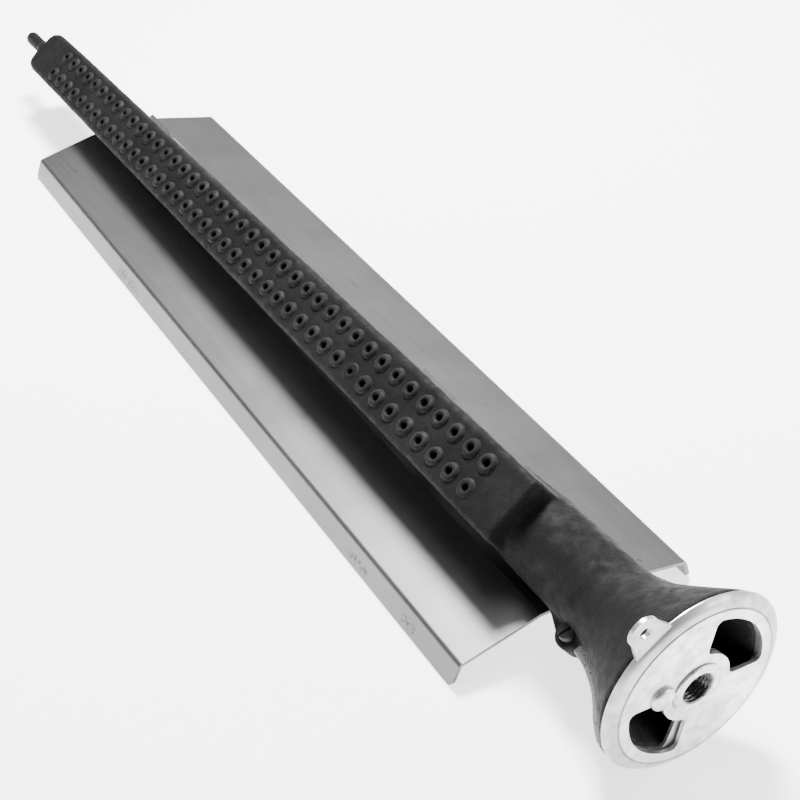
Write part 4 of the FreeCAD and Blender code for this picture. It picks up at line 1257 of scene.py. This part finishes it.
def rounded_sector(first: float, span: float, inner: float, outer: float, corner: float,
                   steps: int = 28) -> Profile:
    """The outline of an air opening: a sector of a ring with rounded corners.

    Args:
        first: The angle where it starts, in degrees.
        span: How far it goes round, in degrees.
        inner: Its inner radius in millimetres.
        outer: Its outer radius in millimetres.
        corner: The radius of its corners.
        steps: How many steps each long arc has.

    Returns:
        Its corners as (x, z).
    """
    outline = []
    out_in, in_in = outer - corner, inner + corner
    out_skip = math.degrees(math.asin(corner / out_in))
    in_skip = math.degrees(math.asin(corner / in_in))
    last = first + span
    near, far = first + out_skip, last - out_skip
    outline += arc_points((0, 0), outer, near, far, steps)
    spot = arc_points((0, 0), out_in, far, far, 1)[0]
    outline += arc_points(spot, corner, far, far + 90 + out_skip, 6)[1:]
    spot = arc_points((0, 0), in_in, last - in_skip, last - in_skip, 1)[0]
    outline += arc_points(spot, corner, last + 90, last - in_skip + 180, 6)
    outline += arc_points((0, 0), inner, last - in_skip, first + in_skip, steps)[1:]
    spot = arc_points((0, 0), in_in, first + in_skip, first + in_skip, 1)[0]
    outline += arc_points(spot, corner, first + in_skip + 180, first + 270, 6)[1:]
    spot = arc_points((0, 0), out_in, near, near, 1)[0]
    outline += arc_points(spot, corner, first - 90, near, 6)[:-1]
    return outline


@dataclass
class AirShutter:
    """The dished zinc-plated disc, its ear, and the dome-headed screw that clamps it."""

    rim: float = 38.1
    face: float = 33.0
    dish: float = 2.7
    sheet: float = 1.5
    step: float = 0.22
    step_width: float = 0.5
    skirt: float = 0.5
    hole: float = 9.26
    opening_first: float = -5.0
    opening_span: float = 85.0
    opening_in: float = 14.3
    opening_out: float = 29.0
    opening_corner: float = 2.6
    ear_angle: float = 124.0
    ear_out: float = 45.5
    ear: float = 6.0
    ear_hole: float = 2.25
    ear_root: float = 8.0
    screw_angle: float = 166.0
    screw_out: float = 16.1
    head: float = 5.0
    head_rise: float = 2.7
    shank: float = 1.75
    shank_end: float = 5.6

    def disc(self) -> bpy.types.Object:
        """The pressed disc with its rolled shoulder, spun from its section.

        Returns:
            A closed solid of revolution, without its openings.
        """
        start = (self.face + self.step_width, self.step - self.dish)
        bend = []
        for turn in range(13):
            share = turn / 12
            swell = 0.55 * math.sin(math.pi * share)
            bend.append((start[0] + (self.rim - start[0]) * share + swell * 0.47,
                         start[1] * (1 - share) - swell * 0.88))
        inner = self.rim - self.sheet
        profile = [(self.hole, -self.dish), (self.face, -self.dish),
                   (self.face + self.step_width * 0.35, self.step - self.dish)]
        profile += bend + [(self.rim, self.skirt), (inner, self.skirt), (inner, -0.15),
                           (self.face - self.step_width, self.sheet - self.dish),
                           (self.hole, self.sheet - self.dish)]
        return lathe("zinc_air_shutter", profile, 180)

    def ear_plate(self) -> bpy.types.Object:
        """The pierced ear, bent up from the rim.

        Returns:
            A closed plate, before its hole is pierced.
        """
        turn = math.radians(self.ear_angle)
        out = Vector((math.cos(turn), math.sin(turn)))
        side = Vector((-out.y, out.x))
        tip = out * self.ear_out
        head = [tuple(tip + (out * math.cos(a) + side * math.sin(a)) * self.ear)
                for a in (math.radians(-100 + 200 * k / 24) for k in range(25))]
        low = out * (self.rim - 0.9)
        feet = [tuple(low + side * self.ear_root), tuple(low - side * self.ear_root)]
        return prism("ear", head + feet, self.skirt - self.sheet, self.sheet)

    def build(self, finishes: Finishes, hold: Attitude) -> None:
        """Makes the shutter and its lock screw.

        Args:
            finishes: The object's finishes.
            hold: The burner's attitude.
        """
        disc = combine(self.disc(), [self.ear_plate()], "UNION")
        cuts = []
        for start in (self.opening_first, self.opening_first + 180):
            outline = rounded_sector(start, self.opening_span, self.opening_in, self.opening_out,
                                     self.opening_corner)
            cuts.append(prism("opening", outline, -self.dish - 2, self.sheet + 4))
        turn = math.radians(self.ear_angle)
        spot = (self.ear_out * math.cos(turn), 0.0, self.ear_out * math.sin(turn))
        cuts.append(rod("pierce", self.ear_hole, -4.0, 4.0, 40, centre=spot))
        combine(disc, cuts, "DIFFERENCE")
        disc.data.transform(hold.plate())
        face_outwards(disc)
        soften(disc, 0.22, 2, 48.0, 38.0)
        seat(disc, Body.SHUTTER, finishes.shutter_zinc, ("air_shutter",))
        self.lock_screw(finishes, hold)

    def lock_screw(self, finishes: Finishes, hold: Attitude) -> None:
        """The dome-headed screw that clamps the shutter.

        Args:
            finishes: The object's finishes.
            hold: The burner's attitude.
        """
        turn = math.radians(self.screw_angle)
        spot = (self.screw_out * math.cos(turn), -self.dish, self.screw_out * math.sin(turn))
        dome = [(self.head * math.sin(a), -0.5 - (self.head_rise - 0.5) * math.cos(a))
                for a in (math.pi / 2 * k / 12 for k in range(13))]
        tip = self.dish + self.shank_end
        profile = dome + [(self.head - 0.15, -0.05), (self.head - 0.5, 0.0), (self.shank, 0.0),
                          (self.shank, tip), (0.0, tip)]
        screw = lathe("dome_lock_screw", profile, 48, hold.plate(), spot)
        shade(screw, 50.0)
        seat(screw, Body.SHUTTER, finishes.screw_zinc, ("shutter_lock_screw",))


@dataclass
class OrificeHub:
    """The turned bushing with its internal pipe thread."""

    flange: float = 10.4
    flange_thick: float = 0.7
    flange_back: float = -2.95
    journal: float = 9.2
    crest: float = 5.9
    root: float = 6.75
    pitch: float = 1.41
    groove: float = 8.5
    groove_start: float = 1.9
    groove_end: float = 2.95
    end: float = 8.0
    chamfer: float = 0.6
    lead_in: float = 1.1
    around: int = 72
    thread_rows: int = 84

    def build(self, finishes: Finishes, hold: Attitude) -> None:
        """Makes the hub: its turned outside, and a helical thread inside.

        Args:
            finishes: The object's finishes.
            hold: The burner's attitude.
        """
        front = self.flange_back - self.flange_thick
        outer = [(self.crest + self.lead_in, front), (self.flange - 0.35, front),
                 (self.flange, front + 0.3), (self.flange, self.flange_back),
                 (self.journal, self.flange_back), (self.journal, self.groove_start),
                 (self.groove, self.groove_start), (self.groove, self.groove_end),
                 (self.journal, self.groove_end), (self.journal, self.end - self.chamfer),
                 (self.journal - self.chamfer, self.end), (self.crest + self.lead_in, self.end)]
        start, stop = front + 0.5, self.end - 0.5
        points = [round_axis(radius, y, FULL_TURN * k / self.around)
                  for radius, y in outer for k in range(self.around)]
        for row in range(self.thread_rows + 1):
            y = stop + (start - stop) * row / self.thread_rows
            for k in range(self.around):
                turn = y / self.pitch - k / self.around
                cut = 1 - abs(2 * (turn % 1.0) - 1)
                radius = self.crest + (self.root - self.crest) * min(1.0, 1.25 * cut)
                points.append(round_axis(radius, y, FULL_TURN * k / self.around))
        faces = grid_faces(len(outer) + self.thread_rows + 1, self.around, True)
        hub = mesh_object("threaded_orifice_hub", points, faces, hold.plate())
        shade(hub, 32.0)
        seat(hub, Body.BURNER, finishes.hub, ("orifice_hub",))


# ---------------------------------------------------------------------------- fasteners

@dataclass
class Fasteners:
    """Screws and nuts, one template each, stood on their places by Geometry Nodes."""

    head: float = 3.6
    head_rise: float = 2.4
    shank: float = 2.0
    slot: float = 1.0
    slot_depth: float = 1.1
    nut_across: float = 7.0
    nut_thick: float = 3.0
    nut_chamfer: float = 0.45
    thread_pitch: float = 0.7
    thread_depth: float = 0.28
    foot_spacing: float = 13.0

    def screw(self, rise: float, length: float) -> bpy.types.Object:
        """A slotted cheese-head screw with its seat at zero and its head along +Z.

        Args:
            rise: How high the head is.
            length: How long the shank is.

        Returns:
            The screw, as a template.
        """
        crown = [(0.0, rise), (self.head * 0.55, rise), (self.head - 0.7, rise - 0.12),
                 (self.head - 0.15, rise - 0.6), (self.head, rise - 1.1), (self.head, 0.15),
                 (self.head - 0.15, 0.0), (self.shank, 0.0)]
        thread = []
        for step in range(1, int(length / self.thread_pitch)):
            cut = self.thread_depth if step % 2 else 0.0
            thread.append((self.shank - cut, -self.thread_pitch * step))
        profile = crown + thread + [(self.shank - 0.3, -length), (0.0, -length)]
        body = lathe("screw", profile, 36, UPRIGHT)
        blade = self.slot / 2
        cut = prism("slot", [(-blade, rise - self.slot_depth), (blade, rise - self.slot_depth),
                             (blade, rise + 1), (-blade, rise + 1)], -self.head - 1,
                    2 * self.head + 2)
        combine(body, [cut], "DIFFERENCE")
        shade(body, 32.0)
        return body

    def nut(self) -> bpy.types.Object:
        """A hexagonal nut with its corners taken off, its seat at zero and its height along +Z.

        Returns:
            The nut, as a template.
        """
        corner = self.nut_across / 2 / math.cos(math.pi / 6)
        outline = [(corner * math.cos(math.pi / 3 * k), corner * math.sin(math.pi / 3 * k))
                   for k in range(6)]
        body = prism("nut", outline, 0.0, self.nut_thick, UPRIGHT)
        wide, past = corner - 0.35, corner + 0.4
        ends = lathe("ends", [(0.0, 0.0), (wide, 0.0), (past, self.nut_chamfer),
                              (past, self.nut_thick - self.nut_chamfer), (wide, self.nut_thick),
                              (0.0, self.nut_thick)], 48, UPRIGHT)
        combine(body, [ends], "INTERSECT")
        hole = rod("hole", self.shank + 0.05, -1.0, self.nut_thick + 1, 32, UPRIGHT)
        combine(body, [hole], "DIFFERENCE")
        shade(body, 30.0)
        return body

    def build(self, finishes: Finishes) -> None:
        """Makes the foot screws, two pairs in one line, and the nuts under them.

        Args:
            finishes: The object's finishes.
        """
        low, high = (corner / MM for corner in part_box("foot_screws"))
        seat_z = high.z - self.head_rise
        first, last = low.y + self.head, high.y - self.head
        feet = [(low.x + self.head, y, seat_z)
                for y in (first, first + self.foot_spacing, last - self.foot_spacing, last)]
        screw = self.screw(self.head_rise, seat_z - low.z)
        screws = Scatter(seed=3).stand("foot_slotted_screws", screw, finishes.screw_zinc, feet,
                                       Matrix.Identity(4))
        seat(screws, Body.BURNER, finishes.screw_zinc, ("foot_screws",))
        nut_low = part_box("foot_nuts")[0].z / MM
        nuts = Scatter(seed=8).stand("foot_hex_nuts", self.nut(), finishes.screw_zinc,
                                     [(x, y, nut_low) for x, y, _ in feet], Matrix.Identity(4))
        seat(nuts, Body.BURNER, finishes.screw_zinc, ("foot_nuts",))


@dataclass
class LugScrew:
    """The small screw in the lug on the side of the venturi tube."""

    out: float = 18.2
    y: float = 46.0
    top: float = 4.5
    rise: float = 2.6
    length: float = 8.0

    def build(self, finishes: Finishes, hold: Attitude) -> None:
        """Makes the screw, with its slot turned part way.

        Args:
            finishes: The object's finishes.
            hold: The burner's attitude.
        """
        screw = Fasteners().screw(self.rise, self.length)
        piece = Scatter(seed=2).stand("lug_slotted_screw", screw, finishes.black_screw,
                                      [(-self.out, self.y, self.top)], hold.burner())
        seat(piece, Body.BURNER, finishes.black_screw, ("lug_screw",))


# ---------------------------------------------------------------------------- studio

@dataclass(frozen=True)
class Lamp:
    """One square soft light: its place, what it is aimed at and its side in metres, and watts."""

    name: str
    spot: Point
    aim: Point
    side: float
    watts: float


@dataclass
class Studio:
    """A pale floor, soft lights and the camera."""

    camera_mm: Point = (-257.8, -226.6, 377.0)
    target_mm: Point = (7.93, 204.53, -20.0)
    camera_roll: float = 0.926
    lens: float = 65.05
    sensor: float = 36.0
    floor_half: float = 30.0
    floor_gap: float = 0.4
    glow_near: float = 2.2
    glow_far: float = 0.9
    glow_reach: tuple[float, float] = (0.9, 5.0)
    sky: float = 0.26
    lamps: tuple[Lamp, ...] = (
        Lamp("key", (0.27, 0.66, 1.0), (0.0, 0.12, -0.02), 0.3, 62.0),
        Lamp("right", (0.9, -0.9, 0.4), (0.05, -0.05, 0.0), 0.6, 9.0),
        Lamp("overhead", (0.3, 0.5, 2.4), (0.0, 0.28, -0.02), 1.2, 30.0),
    )

    def floor(self) -> None:
        """A wide, plain floor just under the object, which glows less the further it is."""
        level = CAD_BOX[0].z / MM - self.floor_gap
        reach = self.floor_half / MM
        plane = mesh_object("floor", [(-reach, -reach, level), (reach, -reach, level),
                                      (reach, reach, level), (-reach, reach, level)],
                            [(0, 1, 2, 3)])
        paint = bpy.data.materials.new("plain_pale_floor")
        paint.use_nodes = True
        shader = paint.node_tree.nodes["Principled BSDF"]
        shader.inputs["Base Color"].default_value = linear("#FAFAFA")
        shader.inputs["Roughness"].default_value = 0.9
        shader.inputs["Emission Color"].default_value = linear("#FFFFFF")
        place = add(paint.node_tree, "ShaderNodeTexCoord").outputs["Object"]
        away = add(paint.node_tree, "ShaderNodeVectorMath", {"operation": "LENGTH"},
                   {0: place}).outputs["Value"]
        near, far = self.glow_reach
        glow = add(paint.node_tree, "ShaderNodeMapRange",
                   {"From Min": near, "From Max": far, "To Min": self.glow_near,
                    "To Max": self.glow_far}, {"Value": away}).outputs["Result"]
        paint.node_tree.links.new(glow, shader.inputs["Emission Strength"])
        dress(plane, paint)

    def light(self, lamp: Lamp) -> None:
        """Puts one light in the scene.

        Args:
            lamp: Its place, aim, size and power.
        """
        data = bpy.data.lights.new(lamp.name, "AREA")
        data.size = lamp.side
        data.energy = lamp.watts
        made = link_new(lamp.name, data)
        made.location = lamp.spot
        toward = Vector(lamp.aim) - Vector(lamp.spot)
        made.rotation_euler = toward.to_track_quat("-Z", "Y").to_euler()

    def camera(self) -> None:
        """The camera, level but for a small roll, with depth of field off."""
        lens = bpy.data.cameras.new("camera")
        lens.lens = self.lens
        lens.sensor_width = self.sensor
        lens.clip_start = 0.01
        lens.clip_end = 50.0
        made = link_new("camera", lens)
        spot, aim = Vector(self.camera_mm) * MM, Vector(self.target_mm) * MM
        turn = (aim - spot).to_track_quat("-Z", "Y").to_matrix().to_4x4()
        roll = Matrix.Rotation(math.radians(self.camera_roll), 4, "Z")
        made.matrix_world = Matrix.Translation(spot) @ turn @ roll
        bpy.context.scene.camera = made

    def build(self) -> None:
        """Sets up the whole studio."""
        self.floor()
        world = bpy.data.worlds.new("studio")
        world.use_nodes = True
        sky = world.node_tree.nodes["Background"].inputs
        sky["Color"].default_value = linear("#FFFFFF")
        sky["Strength"].default_value = self.sky
        bpy.context.scene.world = world
        for lamp in self.lamps:
            self.light(lamp)
        self.camera()


# ---------------------------------------------------------------------------- the whole

def dress_frame(finishes: Finishes) -> None:
    """Gives each CAD node that is shown as it is its own finish.

    Args:
        finishes: The object's finishes.
    """
    nodes = frame["nodes"]
    wanted = {
        "fixed_air_plate": finishes.plate_zinc, "plate_screws": finishes.screw_zinc,
        "hub_wave_washer": finishes.spring, "hub_washer": finishes.screw_zinc,
        "hub_retaining_ring": finishes.spring, "shutter_lock_washer": finishes.screw_zinc,
        "shutter_lock_nut": finishes.screw_zinc, "core_plug": finishes.black_screw,
        "deflector": finishes.sheet, "front_bracket": finishes.bracket,
        "rear_bracket": finishes.bracket, "bar_screws": finishes.black_screw,
        "bar_screw_washers": finishes.screw_zinc, "foot_washers": finishes.screw_zinc,
    }
    for name, finish in wanted.items():
        dress(nodes[name], finish)


def main() -> None:
    """Builds every sub-assembly around the frame, in order."""
    logging.basicConfig(level=logging.INFO, format="%(message)s")
    hold = Attitude.from_record(frame["record"])
    LOG.info("pitch %.2f, roll %.2f degrees", math.degrees(hold.pitch), math.degrees(hold.roll))
    finishes = Finishes.make()
    dress_frame(finishes)
    BurnerCasting().build(finishes, hold)
    AirShutter().build(finishes, hold)
    OrificeHub().build(finishes, hold)
    Fasteners().build(finishes)
    LugScrew().build(finishes, hold)
    Studio().build()


if __name__ == "__main__":
    main()
